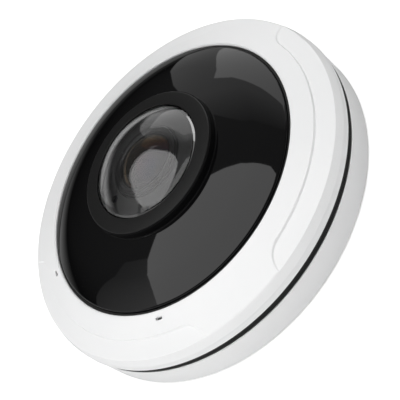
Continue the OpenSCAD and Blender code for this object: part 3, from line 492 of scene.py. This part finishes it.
seal_in_r = base_cavity_r + 0.3
bead = 0.35
seal_mid = (base_top + cover_z) / 2
body_seal = finish_mesh("body_seal_ring", turn(soft_outline([
    (seal_in_r, base_top, 0.2), (seal_r - bead, base_top, 0.1), (seal_r, base_top + bead, 0.3),
    (seal_r, seal_mid - bead, 0.2), (seal_r - bead, seal_mid, 0.2), (seal_r, seal_mid + bead, 0.2),
    (seal_r, cover_z - bead, 0.3), (seal_r - bead, cover_z, 0.1), (seal_in_r, cover_z, 0.2)]), 360))
place_piece(body_seal, black_rubber, "camera", "body_seal")

# Front cover
# A white powder-coated casting: a conical bezel with three shallow sunk pads and two
# microphone slots, a facet down to its side and a bead on its lower edge. Four screws from
# behind pull it onto the seal.
cover_r, _, rim_z = reach("front_cover")
cover_wall = 2.4
window_r = 58.2
bezel_angle = math.radians(18.8)
corner_z = rim_z - (cover_r - window_r) * math.tan(bezel_angle)
bead_out, bead_h, bead_round = 0.25, 0.9, 0.2
side_r = cover_r - bead_out
facet_z = cover_z + 2.8
facet_angle = math.radians(20)
shoulder_r = 1.2
lip_chamfer = 0.5
lip_h = 2.8
seat_r = window_r + 1.8
collar_r = seat_r + 3.6
flange_z = reach("window_clamp_ring")[2]
pad_in_r = 66.5
pad_end_at, pad_end_r = 76.0, 9.5
pad_half_angle = 39.5
pad_end_spread, pad_end_inset = 8.5, 0.5
pad_depth = 0.8
pad_slope = math.tan(math.radians(15))
pad_edge = 0.36
mic_l, mic_w = 3.0, 1.1
mic_at = seat_r + mic_w / 2 + 0.6
mic_angles = (237.5, 302.5)


def pad_share(x, y):
    """0 outside the sunk pads, 1 on their floor, with a soft step between."""
    r = math.hypot(x, y)
    degrees = math.degrees(math.atan2(y, x))
    off = (degrees - third_angles[0] + 60) % 120 - 60
    if abs(off) <= pad_half_angle:
        inside = r - pad_in_r
    else:
        off_end = math.radians(abs(off) - pad_half_angle)
        inside = pad_end_r - math.sqrt(
            r * r + pad_end_at ** 2 - 2 * r * pad_end_at * math.cos(off_end))
    t = min(1.0, max(0.0, inside / pad_edge + 0.5))
    return t * t * (3 - 2 * t)


def cover_outline():
    """Closed outline of the cover, with close steps where the pads cut its face."""
    low = cover_z
    side = [(cover_r - bead_round, low), (cover_r - 0.06, low + 0.06), (cover_r, low + bead_round),
            (cover_r - 0.02, low + bead_h / 2), (side_r + 0.04, low + bead_h - 0.08),
            (side_r, low + bead_h + 0.1), (side_r, facet_z - 0.15), (side_r - 0.01, facet_z),
            (side_r - 0.06, facet_z + 0.15)]
    lean, slope = math.tan(facet_angle), math.tan(bezel_angle)
    tip_z = (corner_z + (cover_r - side_r - facet_z * lean) * slope) / (1 - lean * slope)
    tip = Vector((side_r - (tip_z - facet_z) * lean, tip_z))
    half_turn = (math.pi / 2 - bezel_angle - facet_angle) / 2
    middle = facet_angle + half_turn
    outward = Vector((math.cos(middle), math.sin(middle))) / math.cos(half_turn)
    centre = tip - shoulder_r * outward
    steps = 12
    shoulder = [(centre[0] + shoulder_r * math.cos(a), centre[1] + shoulder_r * math.sin(a))
                for a in [facet_angle + 2 * half_turn * k / steps for k in range(steps + 1)]]
    last_r = shoulder[-1][0]
    inner_r = window_r + lip_chamfer
    radii = [last_r + (pad_in_r - pad_edge - last_r) * k / 40 for k in range(1, 41)] + [
        pad_in_r - pad_edge + (inner_r - pad_in_r + pad_edge) * k / 6 for k in range(1, 7)]
    face = [(r, corner_z + (cover_r - r) * math.tan(bezel_angle)) for r in radii]
    lip = soft_outline([(inner_r, face[-1][1], 0.15), (window_r, face[-1][1] - 0.25, 0.2),
                        (window_r, rim_z - lip_h, 0.0)], 3)[:8]
    under = cover_wall / math.cos(bezel_angle)
    inside = [(window_r, rim_z - lip_h), (seat_r, rim_z - lip_h), (seat_r, flange_z), (collar_r, flange_z),
              (collar_r, corner_z + (cover_r - collar_r) * math.tan(bezel_angle) - under)]
    inner_side_r = side_r - cover_wall
    foot = [tuple(tip - cover_wall * outward),
            (inner_side_r, facet_z - cover_wall * math.tan(facet_angle / 2)), (inner_side_r, low)]
    outer = side + shoulder + face
    return outer + [p for p in lip if p[0] < inner_r - 0.01 and p[1] > rim_z - lip_h + 0.01] \
        + inside + foot, len(outer)


def cover_degrees():
    """Angles round the cover, close together where the pads' round ends cross its face."""
    degrees = []
    for middle in third_angles:
        before, after = middle - pad_half_angle, middle + pad_half_angle
        ends = [before - pad_end_spread, before + pad_end_inset, after - pad_end_inset,
                after + pad_end_spread, before - pad_end_spread + 120]
        for start, stop, step in zip(ends, ends[1:], (0.12, 0.6, 0.12, 0.6)):
            count = round((stop - start) / step)
            degrees += [start + (stop - start) * k / count for k in range(count)]
    return degrees


outline, outer_count = cover_outline()
angles_round = cover_degrees()
cover_bm = turn(outline, degrees=angles_round)
cover_bm.verts.ensure_lookup_table()
floor_at_inner = corner_z + (cover_r - pad_in_r) * math.tan(bezel_angle) - pad_depth
for vert in cover_bm.verts[:outer_count * len(angles_round)]:
    r = math.hypot(vert.co.x, vert.co.y)
    if r > pad_in_r - 2 * pad_edge and vert.co.z > facet_z:
        floor = floor_at_inner - (r - pad_in_r) * pad_slope
        vert.co.z -= pad_share(vert.co.x, vert.co.y) * max(0.0, vert.co.z - floor)
cover = finish_mesh("front_cover_shell", cover_bm, 40)
slots = bmesh.new()
for angle in mic_angles:
    straight = mic_l - mic_w
    ends = [(mic_w / 2 * math.cos(math.radians(start + k * 15)),
             side * straight / 2 + mic_w / 2 * math.sin(math.radians(start + k * 15)))
            for start, side in ((0, 1), (180, -1)) for k in range(13)]
    turned = Matrix.Rotation(math.radians(angle), 4, "Z") @ Matrix.Translation((mic_at, 0, 0))
    low = [slots.verts.new(turned @ Vector((x, y, flange_z - 1))) for x, y in ends]
    high = [slots.verts.new(turned @ Vector((x, y, rim_z + 1))) for x, y in ends]
    slots.faces.new(low)
    slots.faces.new(high)
    for k in range(len(ends)):
        following = (k + 1) % len(ends)
        slots.faces.new([low[k], low[following], high[following], high[k]])
carve(cover, slots, crease=40)
place_piece(cover, powder_white, "camera", "front_cover")

# Window seal
# A black silicone moulding between the bezel and the window, pressed on by the window's
# flange. It shows as a line just below the bezel's lip.
snug = 0.05
seal_line = 1.2
seal_down = 0.85
window_edge_r = window_r - seal_line
window_flange_t = 2.0
window_seal = finish_mesh("window_seal_ring", turn(soft_outline([
    (window_edge_r + snug, flange_z + window_flange_t, 0), (seat_r - snug, flange_z + window_flange_t, 0),
    (seat_r - snug, rim_z - lip_h, 0), (window_r - snug, rim_z - lip_h, 0),
    (window_r - snug, rim_z - seal_down, 0.25), (window_edge_r + snug, rim_z - seal_down, 0.25)]), 360))
place_piece(window_seal, black_rubber, "camera", "window_seal")

# Dome window
# Polished black polycarbonate that passes infrared, moulded with a round edge and a raised
# collar for the lens, whose side is finely textured. The clamp ring holds its flange from
# behind.
hub_bore_r = 23.9
_, window_z, hub_z = reach("dome_window")
dome_r, flank_r = 200.0, 50.0
dome_up = 0.05
window_t = 2.4
window_round = 1.0
hub_r = 30.7
hub_foot_r = 0.6
hub_round = 0.1
textured_r = hub_r + 0.45
shelf_r, shelf_t = 26.9, 2.0
shelf_z = reach("bubble_seal")[1]
flank_w = 12
turn_r = window_edge_r - flank_w
flank_at = (dome_r - flank_r) * turn_r / dome_r
flank_up = math.sqrt((dome_r - flank_r) ** 2 - flank_at ** 2)
dome_z = rim_z + dome_up - flank_up - math.sqrt(flank_r ** 2 - (window_edge_r - flank_at) ** 2)


def dome_top(r, depth=0.0):
    """Height of the dome's face, or a depth under it, at a radius. Its flank bends down more."""
    if r < turn_r * (1 - depth / dome_r):
        return dome_z + math.sqrt((dome_r - depth) ** 2 - r * r)
    return dome_z + flank_up + math.sqrt((flank_r - depth) ** 2 - (r - flank_at) ** 2)


def arc_points(centre, radius, start, stop, steps):
    """Points of an arc between two angles in degrees."""
    return [(centre[0] + radius * math.cos(math.radians(start + (stop - start) * k / steps)),
             centre[1] + radius * math.sin(math.radians(start + (stop - start) * k / steps)))
            for k in range(steps + 1)]


def dome_points(start, stop, steps, depth=0.0):
    """Points on the dome from one radius to another."""
    return [(r, dome_top(r, depth)) for r in [start + (stop - start) * k / steps for k in range(steps + 1)]]


def window_outline():
    """Closed outline of the window, from its flange over the dome to the collar and back."""
    edge = (window_edge_r - window_round, dome_top(window_edge_r - window_round, window_round))
    round_end = math.degrees(math.acos((edge[0] - flank_at) / (flank_r - window_round)))
    foot_z = dome_z + math.sqrt((dome_r + hub_foot_r) ** 2 - (hub_r + hub_foot_r) ** 2)
    foot_angle = 180 + math.degrees(math.atan2(foot_z - dome_z, hub_r + hub_foot_r))
    foot_out = (hub_r + hub_foot_r) * dome_r / (dome_r + hub_foot_r)
    start = edge[0] + window_round * math.cos(math.radians(round_end))
    inner = window_edge_r - window_t
    flange = [(inner, window_z), (seat_r - snug, window_z), (seat_r - snug, window_z + window_flange_t),
              (window_edge_r, window_z + window_flange_t)]
    face = arc_points(edge, window_round, 0, round_end, 8) + dome_points(start, foot_out, 90)[1:]
    collar = arc_points((hub_r + hub_foot_r, foot_z), hub_foot_r, foot_angle, 180, 10)[1:]
    top = arc_points((hub_r - hub_round, hub_z - hub_round), hub_round, 0, 90, 3)
    shelf = [(shelf_r, hub_z), (shelf_r, shelf_z), (hub_bore_r, shelf_z), (hub_bore_r, shelf_z - shelf_t),
             (hub_r - window_t, shelf_z - shelf_t)]
    return flange + face + collar + top + shelf + dome_points(hub_r - window_t / 2, inner, 24, window_t)


def black_moulding(name, roughness, specular):
    """Black polycarbonate as it leaves one face of its mould."""
    material = new_material(name, IOR=1.5, Roughness=roughness, Specular_IOR_Level=specular)
    melt = use_group(material, surface_grain, Grain_Size=0.4 * mm, Patch_Size=25 * mm)
    tint(material, melt.outputs["Patches"], (0.0015, 0.0015, 0.0017), (0.0025, 0.0025, 0.0027))
    return material


black_window = black_moulding("black_window", 0.03, 0.46)
black_collar = black_moulding("black_collar", 0.5, 0.12)
window = finish_mesh("dome_window_shell", turn(window_outline(), 360), 35)
place_piece(window, black_window, "camera", "dome_window")
window.data.materials.append(black_collar)
for face in window.data.polygons:
    face.material_index = int(math.hypot(*face.center[:2]) < textured_r * mm)

# Lens barrel and retaining ring
# Turned from aluminium and anodised black. The ring screws onto the barrel and holds the
# front element; two notches take the spanner.


def turned_group():
    """Fine rings round the Z axis of the whole camera, left by a lathe tool."""
    group, start, end = new_group("turned_rings", {"Pitch": 0.15 * mm}, ("Rings",))
    place = add_node(group, "ShaderNodeTexCoord").outputs["Object"]
    flat = add_node(group, "ShaderNodeVectorMath", {0: place, 1: (1, 1, 0)}, operation="MULTIPLY")
    radius = add_node(group, "ShaderNodeVectorMath", {0: flat.outputs[0]}, operation="LENGTH")
    turns = add_node(group, "ShaderNodeMath", {0: radius.outputs["Value"], 1: start.outputs["Pitch"]},
                     operation="DIVIDE")
    angle = add_node(group, "ShaderNodeMath", {0: turns.outputs[0], 1: math.tau}, operation="MULTIPLY")
    wave = add_node(group, "ShaderNodeMath", {0: angle.outputs[0]}, operation="SINE")
    spread = add_node(group, "ShaderNodeMapRange", {"Value": wave.outputs[0], "From Min": -1.0})
    group.links.new(spread.outputs["Result"], end.inputs["Rings"])
    return group


turned_rings = turned_group()

barrel_r, barrel_z, barrel_top = reach("lens_barrel")
barrel_rear_r, barrel_rear_bore_r, barrel_rear_t = 12.0, 5.0, 1.6
barrel_bore_r = 8.95
barrel_front_h = 6.5
element_flange_r = barrel_r - 2
element_seat_h = 3.0
element_r = 11.6
black_anodised = new_material("black_anodised", Metallic=0.6, IOR=1.5)
lathe_marks = use_group(black_anodised, turned_rings, Pitch=0.22 * mm)
tint(black_anodised, lathe_marks.outputs["Rings"], (0.01, 0.01, 0.0105), (0.018, 0.018, 0.019))
vary(black_anodised, "Roughness", lathe_marks.outputs["Rings"], 0.3, 0.42)
barrel = finish_mesh("lens_barrel_turned", turn(soft_outline([
    (barrel_rear_bore_r, barrel_z, 0), (barrel_rear_r, barrel_z, 0.3),
    (barrel_rear_r, barrel_top - barrel_front_h, 0), (barrel_r, barrel_top - barrel_front_h, 0.3),
    (barrel_r, barrel_top, 0.25), (element_flange_r + snug, barrel_top, 0.1),
    (element_flange_r + snug, barrel_top - element_seat_h, 0),
    (barrel_bore_r, barrel_top - element_seat_h, 0.1), (barrel_bore_r, barrel_z + barrel_rear_t, 0),
    (barrel_rear_bore_r, barrel_z + barrel_rear_t, 0.1)]), 200))
place_piece(barrel, black_anodised, "camera", "lens_barrel")

retainer_r, retainer_z, retainer_top = reach("retaining_ring")
retainer_in_r = element_r + 0.3
retainer_slope_w, retainer_slope_h = 1.1, 0.55
notch = (1.6, 1.2, 0.9)
notch_at = (retainer_r + retainer_in_r) / 2 + 0.6
retainer = finish_mesh("retaining_ring_turned", turn(soft_outline([
    (retainer_in_r, retainer_z, 0), (retainer_r, retainer_z, 0), (retainer_r, retainer_top, 0.2),
    (retainer_in_r + retainer_slope_w, retainer_top, 0.2),
    (retainer_in_r, retainer_top - retainer_slope_h, 0.1)]), 200))
notches = bmesh.new()
for side in (1, -1):
    middle = Matrix.Translation((side * notch_at, 0, retainer_top))
    bmesh.ops.create_cube(notches, size=1, matrix=middle @ Matrix.Diagonal((*notch, 1)))
carve(retainer, notches)
place_piece(retainer, black_anodised, "camera", "retaining_ring")

# Lens elements
# Ground glass with thin coatings, which turn its faint reflections amber, tinted dark grey as painted shade
# of the
# # lens's dark inside. The front element bulges through the retaining ring, and two more sit behind it in
# the barrel.
_, element_z, element_top = reach("front_element")
element_h = element_top - barrel_top
sphere_r = (element_r ** 2 + element_h ** 2) / (2 * element_h)
hollow_r_at, hollow_depth = 7.5, 2.4
hollow_r = (hollow_r_at ** 2 + hollow_depth ** 2) / (2 * hollow_depth)


def cap_points(radius, top, out_r, steps):
    """Points of a spherical cap from its rim at out_r to the axis, its pole at a height."""
    return [(out_r * (1 - k / steps), top - radius + math.sqrt(radius ** 2 - (out_r * (1 - k / steps)) ** 2))
            for k in range(steps + 1)]


def hollow_points(radius, low, out_r, steps):
    """Points of the hollow in an element's back, from the axis out to its rim."""
    return [(out_r * k / steps, low + math.sqrt(radius ** 2 - (out_r * k / steps) ** 2) - radius)
            for k in range(steps + 1)]


# Its dark grey base colour is painted shade: it darkens all that is seen through the elements.
coated_glass = new_material("coated_glass", IOR=1.3, Transmission_Weight=1.0, Thin_Film_Thickness=380.0,
                            Thin_Film_IOR=1.2, Base_Color=(0.12, 0.11, 0.11, 1),
                            Specular_Tint=(1, 0.74, 0.68, 1))
smudge = use_group(coated_glass, surface_grain, Grain_Size=1.0 * mm, Patch_Size=9 * mm)
vary(coated_glass, "Roughness", smudge.outputs["Patches"], 0.0, 0.02)
flange_top = element_z + element_seat_h - 0.1
dome_foot_r = math.sqrt(sphere_r ** 2 - (sphere_r - (element_top - flange_top)) ** 2)
front = finish_mesh("front_element_ground", turn(
    cap_points(sphere_r, element_top, dome_foot_r, 28)
    + hollow_points(hollow_r, element_z + hollow_depth, hollow_r_at, 16)
    + [(element_flange_r, element_z), (element_flange_r, flange_top)], 160))
place_piece(front, coated_glass, "camera", "front_element")
dress(["second_element", "rear_element"], coated_glass)

# Lens baffle, lens holder and filter frame
# Matt black mouldings that keep stray light from the lens. The baffle stands on the bracket
# and closes the space round the barrel, with one small hole for the light sensor.
baffle_r, baffle_z, baffle_top = reach("lens_baffle")
baffle_wall, baffle_lid_t = 1.5, 0.8
baffle_bore_r = barrel_r + 0.3
sensor_hole_r = 1.5
baffle_black = grained("baffle_black", (0.02, 0.02, 0.0205), (0.028, 0.028, 0.0285), (0.45, 0.6), grain=0.18,
                       patch=8, bump=0.02, IOR=1.5)
dress(["lens_holder", "filter_frame"], baffle_black)
baffle = finish_mesh("lens_baffle_cup", turn(soft_outline([
    (baffle_r - baffle_wall, baffle_z, 0), (baffle_r, baffle_z, 0), (baffle_r, baffle_top, 0.4),
    (baffle_bore_r, baffle_top, 0.2), (baffle_bore_r, baffle_top - baffle_lid_t, 0.1),
    (baffle_r - baffle_wall, baffle_top - baffle_lid_t, 0.2)]), 200))
sensor_low, sensor_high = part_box("light_sensor")
sensor_at = (sensor_low + sensor_high) / 2 / mm
sensor_hole = bmesh.new()
peg(sensor_hole, sensor_hole_r, baffle_top - 2 * over, baffle_top + over, (sensor_at.x, sensor_at.y))
carve(baffle, sensor_hole)
place_piece(baffle, baffle_black, "camera", "lens_baffle")

# Lens trim ring
# A turned ring, painted dark grey, with a narrow chamfer round its outer edge. It is pressed
# into the collar and holds the bubble's flange down.
trim_r, _, trim_top = reach("lens_trim_ring")
trim_in_r = 24.3
trim_edge_h, trim_edge_w, trim_step = 0.75, 0.3, 0.25
trim_round = 0.12
bubble_flange_t = 1.4
flange_top_z = reach("lens_bubble")[1] + bubble_flange_t
trim_grey = grained("trim_grey", (0.005, 0.005, 0.005), (0.008, 0.008, 0.008), (0.3, 0.42), grain=0.15,
                    patch=12, bump=0.006, IOR=1.5, Specular_IOR_Level=0.35)
trim = finish_mesh("lens_trim_ring_turned", turn(soft_outline([
    (trim_in_r, flange_top_z, 0.05), (shelf_r, flange_top_z, 0), (shelf_r, hub_z, 0), (trim_r, hub_z, 0.05),
    (trim_r, trim_top - trim_edge_h, trim_round),
    (trim_r - trim_edge_w, trim_top - trim_edge_h + trim_step, trim_round),
    (trim_in_r, trim_top, trim_round)]), 256))
place_piece(trim, trim_grey, "camera", "lens_trim_ring")

# Lens bubble
# A clear moulded cap of even wall, polished inside and out. Its flange lies on the bubble
# seal, under the trim ring.
bubble_flange_r, bubble_z, bubble_top = reach("lens_bubble")
bubble_t = 1.8
bubble_r = 24.2
cap_h = bubble_top - flange_top_z
bubble_sphere_r = (bubble_r ** 2 + cap_h ** 2) / (2 * cap_h)
inner_sphere_r = bubble_sphere_r - bubble_t
inner_foot_r = math.sqrt(inner_sphere_r ** 2 - (bubble_sphere_r - cap_h) ** 2)
bubble_bore_r = bubble_r - bubble_t
bubble_foot_h = 0.6
clear_bubble = clear_material("clear_bubble", (1.0, 1.0, 1.0), 1.58, 0.0, 0.012)
outer_cap = cap_points(bubble_sphere_r, bubble_top, bubble_r, 40)
inner_cap = cap_points(inner_sphere_r, bubble_top - bubble_t, inner_foot_r, 36)[::-1]
bubble = finish_mesh("lens_bubble_cap", turn(
    outer_cap + [p for p in inner_cap if p[0] < bubble_bore_r - snug]
    + [(bubble_bore_r, flange_top_z - bubble_foot_h), (bubble_bore_r, bubble_z), (bubble_flange_r, bubble_z),
       (bubble_flange_r, flange_top_z)], 256), 40)
place_piece(bubble, clear_bubble, "camera", "lens_bubble")

# Floor
# A plain white table top that the camera lies on with its back. Polished pieces mirror it
# greyer, and it glows a little to the photograph's camera alone, so that it shows white.
floor_size = 8.0
floor_gap = 0.0003
bpy.ops.mesh.primitive_plane_add(size=floor_size, location=(0, 0, -floor_gap))
table_top = bpy.context.object
table_top.name = "table_top"
white_paper = new_material("white_paper", Roughness=0.9, Specular_IOR_Level=0.0)
fibre = use_group(white_paper, surface_grain, Grain_Size=1 * mm, Patch_Size=200 * mm)
paper = tint(white_paper, fibre.outputs["Patches"], (0.8, 0.8, 0.8), (0.82, 0.82, 0.82))
paper_tree = white_paper.node_tree
rays = add_node(paper_tree, "ShaderNodeLightPath")
mirrored = add_node(paper_tree, "ShaderNodeMix", {"Factor": rays.outputs["Is Glossy Ray"]}, data_type="RGBA")
mirrored.inputs[7].default_value = (0.3, 0.3, 0.3, 1)
paper_tree.links.new(paper, mirrored.inputs[6])
paper_tree.links.new(mirrored.outputs[2], paper_tree.nodes["Principled BSDF"].inputs["Base Color"])
glow = add_node(paper_tree, "ShaderNodeEmission", {"Strength": rays.outputs["Is Camera Ray"]})
glow.inputs["Color"].default_value = (0.4, 0.4, 0.4, 1)
both = add_node(paper_tree, "ShaderNodeAddShader")
paper_tree.links.new(paper_tree.nodes["Principled BSDF"].outputs[0], both.inputs[0])
paper_tree.links.new(glow.outputs[0], both.inputs[1])
paper_tree.links.new(both.outputs[0], paper_tree.nodes["Material Output"].inputs["Surface"])
table_top.data.materials.append(white_paper)

# Studio light
# A large overhead softbox with rounded corners, whose mirror image lies across the window,
# cards beyond the upper edge and the lower left, two fills for the matt white side, and a
# dark room with a pale horizon.


def direction(azimuth, elevation, distance=1.0):
    """Point in metres at an azimuth from +X and an elevation, in degrees."""
    flat = math.cos(math.radians(elevation)) * distance
    return Vector((flat * math.cos(math.radians(azimuth)), flat * math.sin(math.radians(azimuth)),
                   distance * math.sin(math.radians(elevation))))


def card(name, distance, corners, edge_glow, far_glow=None, fade=1.0, in_gloss=True, in_glass=False):
    """Flat glowing card whose corners are azimuths and elevations. Its glow runs from edge_glow at
    the edge between the first two corners to far_glow at the distance fade from that edge. Polished
    pieces mirror it only with in_gloss, and it shines through clear ones only with in_glass."""
    rays = [direction(azimuth, elevation) for azimuth, elevation in corners]
    facing = sum(rays, Vector()).normalized()
    points = [ray * distance / ray.dot(facing) for ray in rays]
    along = (points[1] - points[0]).normalized()
    stand = Matrix((along, facing.cross(along), facing)).transposed().to_4x4()
    stand.translation = points[0]
    sheet = bpy.data.meshes.new(name)
    sheet.from_pydata([stand.inverted() @ point for point in points], [], [range(len(points))])
    piece = bpy.data.objects.new(name, sheet)
    piece.matrix_world = stand
    piece.visible_camera = False
    piece.visible_glossy = in_gloss
    piece.visible_transmission = in_glass
    bpy.context.scene.collection.objects.link(piece)
    cloth = bpy.data.materials.new(name + "_cloth")
    cloth.use_nodes = True
    tree = cloth.node_tree
    place = add_node(tree, "ShaderNodeTexCoord").outputs["Object"]
    spot = add_node(tree, "ShaderNodeSeparateXYZ", {"Vector": place})
    inward = add_node(tree, "ShaderNodeMath", {0: spot.outputs["Y"]}, operation="ABSOLUTE")
    ramp = add_node(tree, "ShaderNodeMapRange", {"Value": inward.outputs[0], "From Max": fade,
                                                 "To Min": edge_glow, "To Max": far_glow or edge_glow})
    glow = add_node(tree, "ShaderNodeEmission", {"Strength": ramp.outputs["Result"]})
    tree.links.new(glow.outputs[0], tree.nodes["Material Output"].inputs["Surface"])
    sheet.materials.append(cloth)


overhead_height = 1.0
overhead_corners = [
    (-0.709, -0.236), (-0.7, -0.1), (-0.67, 0.0), (-0.62, 0.1), (-0.56, 0.19), (-0.5, 0.25), (-0.45, 0.292),
    (-0.376, 0.336), (-0.189, 0.374), (0.046, 0.42), (0.2, 0.4), (0.33, 0.3), (0.4, 0.1), (0.42, -0.16),
    (0.4, -0.42), (0.3, -0.66), (0.05, -0.86), (-0.2, -0.92), (-0.37, -0.85), (-0.43, -0.69), (-0.5, -0.55),
    (-0.6, -0.4), (-0.67, -0.32)]
card("overhead_softbox", overhead_height, [
    (math.degrees(math.atan2(y, x)), math.degrees(math.atan2(overhead_height, math.hypot(x, y))))
    for x, y in overhead_corners], 1.7, in_glass=True)
card("top_card", 1.4, [
    (117.8, 53.6), (98, 53.2), (85, 50), (70, 12), (147, 1), (149, 6), (151.4, 15.5), (151.6, 23),
    (150.1, 31.7), (147.4, 38.7), (143.9, 43.7), (139.6, 47.5), (134.7, 50.6)],
    0.16, 0.46, 0.3, in_glass=True)
card("top_bright_card", 1.2, [
    (136, 5), (137.5, 9), (139, 22), (141.7, 31.2), (137.7, 33.9), (129.6, 36.2), (119.5, 38.8),
    (106.3, 41.6), (92, 43), (80, 10)], 1.2)
card("lower_left_card", 1.4, [
    (-163.2, 45), (-148.5, 27.5), (-135, 15), (-110, 20), (-110, 70), (-163, 56)], 0.2, 0.75, 0.8)
card("lower_fill", 1.6, [(-130, 14), (-54, 15), (-52, 1), (-132, 1)], 3.6, in_gloss=False)
card("right_fill", 1.6, [(-50, 32), (-55, 63), (5, 70), (68, 63), (66, 32)], 3.7, in_gloss=False)

world = bpy.data.worlds.new("room")
bpy.context.scene.world = world
world.use_nodes = True
room = world.node_tree
view_ray = add_node(room, "ShaderNodeTexCoord").outputs["Generated"]
parts = add_node(room, "ShaderNodeSeparateXYZ", {"Vector": view_ray}).outputs
leaning = add_node(room, "ShaderNodeMath", {0: parts["Y"], 1: 0.2, 2: parts["Z"]}, operation="MULTIPLY_ADD")


def room_glow(value, low, high, low_glow, high_glow):
    """Glow of the room that goes from one strength to another as a value goes from low to high."""
    spread = add_node(room, "ShaderNodeMapRange", {
        "Value": value, "From Min": low, "From Max": high, "To Min": low_glow, "To Max": high_glow})
    return spread.outputs["Result"]


horizon = room_glow(leaning.outputs[0], 0.0, 0.2, 0.6, 0.0)
near_side = room_glow(parts["Y"], -0.1, 0.2, 1.0, 0.25)
walls = room_glow(leaning.outputs[0], 0.17, 0.75, 0.0, 0.13)
light = add_node(room, "ShaderNodeMath", {0: horizon, 1: near_side, 2: walls}, operation="MULTIPLY_ADD")
room.links.new(light.outputs[0], room.nodes["Background"].inputs["Strength"])
room.nodes["Background"].inputs["Color"].default_value = (1, 1, 1, 1)

# Camera
# Stands where the photograph was taken from: high on the +X side, rolled so that twelve
# o'clock on the camera points up and to the right.
lens = bpy.data.cameras.new("photo_camera")
lens.sensor_width = 36
lens.lens = 90
viewer = bpy.data.objects.new("photo_camera", lens)
right = Vector((0.656968, 0.439723, -0.612403))
up = Vector((-0.187964, 0.882174, 0.431785))
back = Vector((0.730112, -0.168559, 0.662212))
stand = Matrix((right, up, back)).transposed().to_4x4()
stand.translation = (0.293183, -0.067896, 0.269929)
viewer.matrix_world = stand
bpy.context.scene.collection.objects.link(viewer)
bpy.context.scene.camera = viewer
bpy.context.scene.view_settings.view_transform = "Standard"
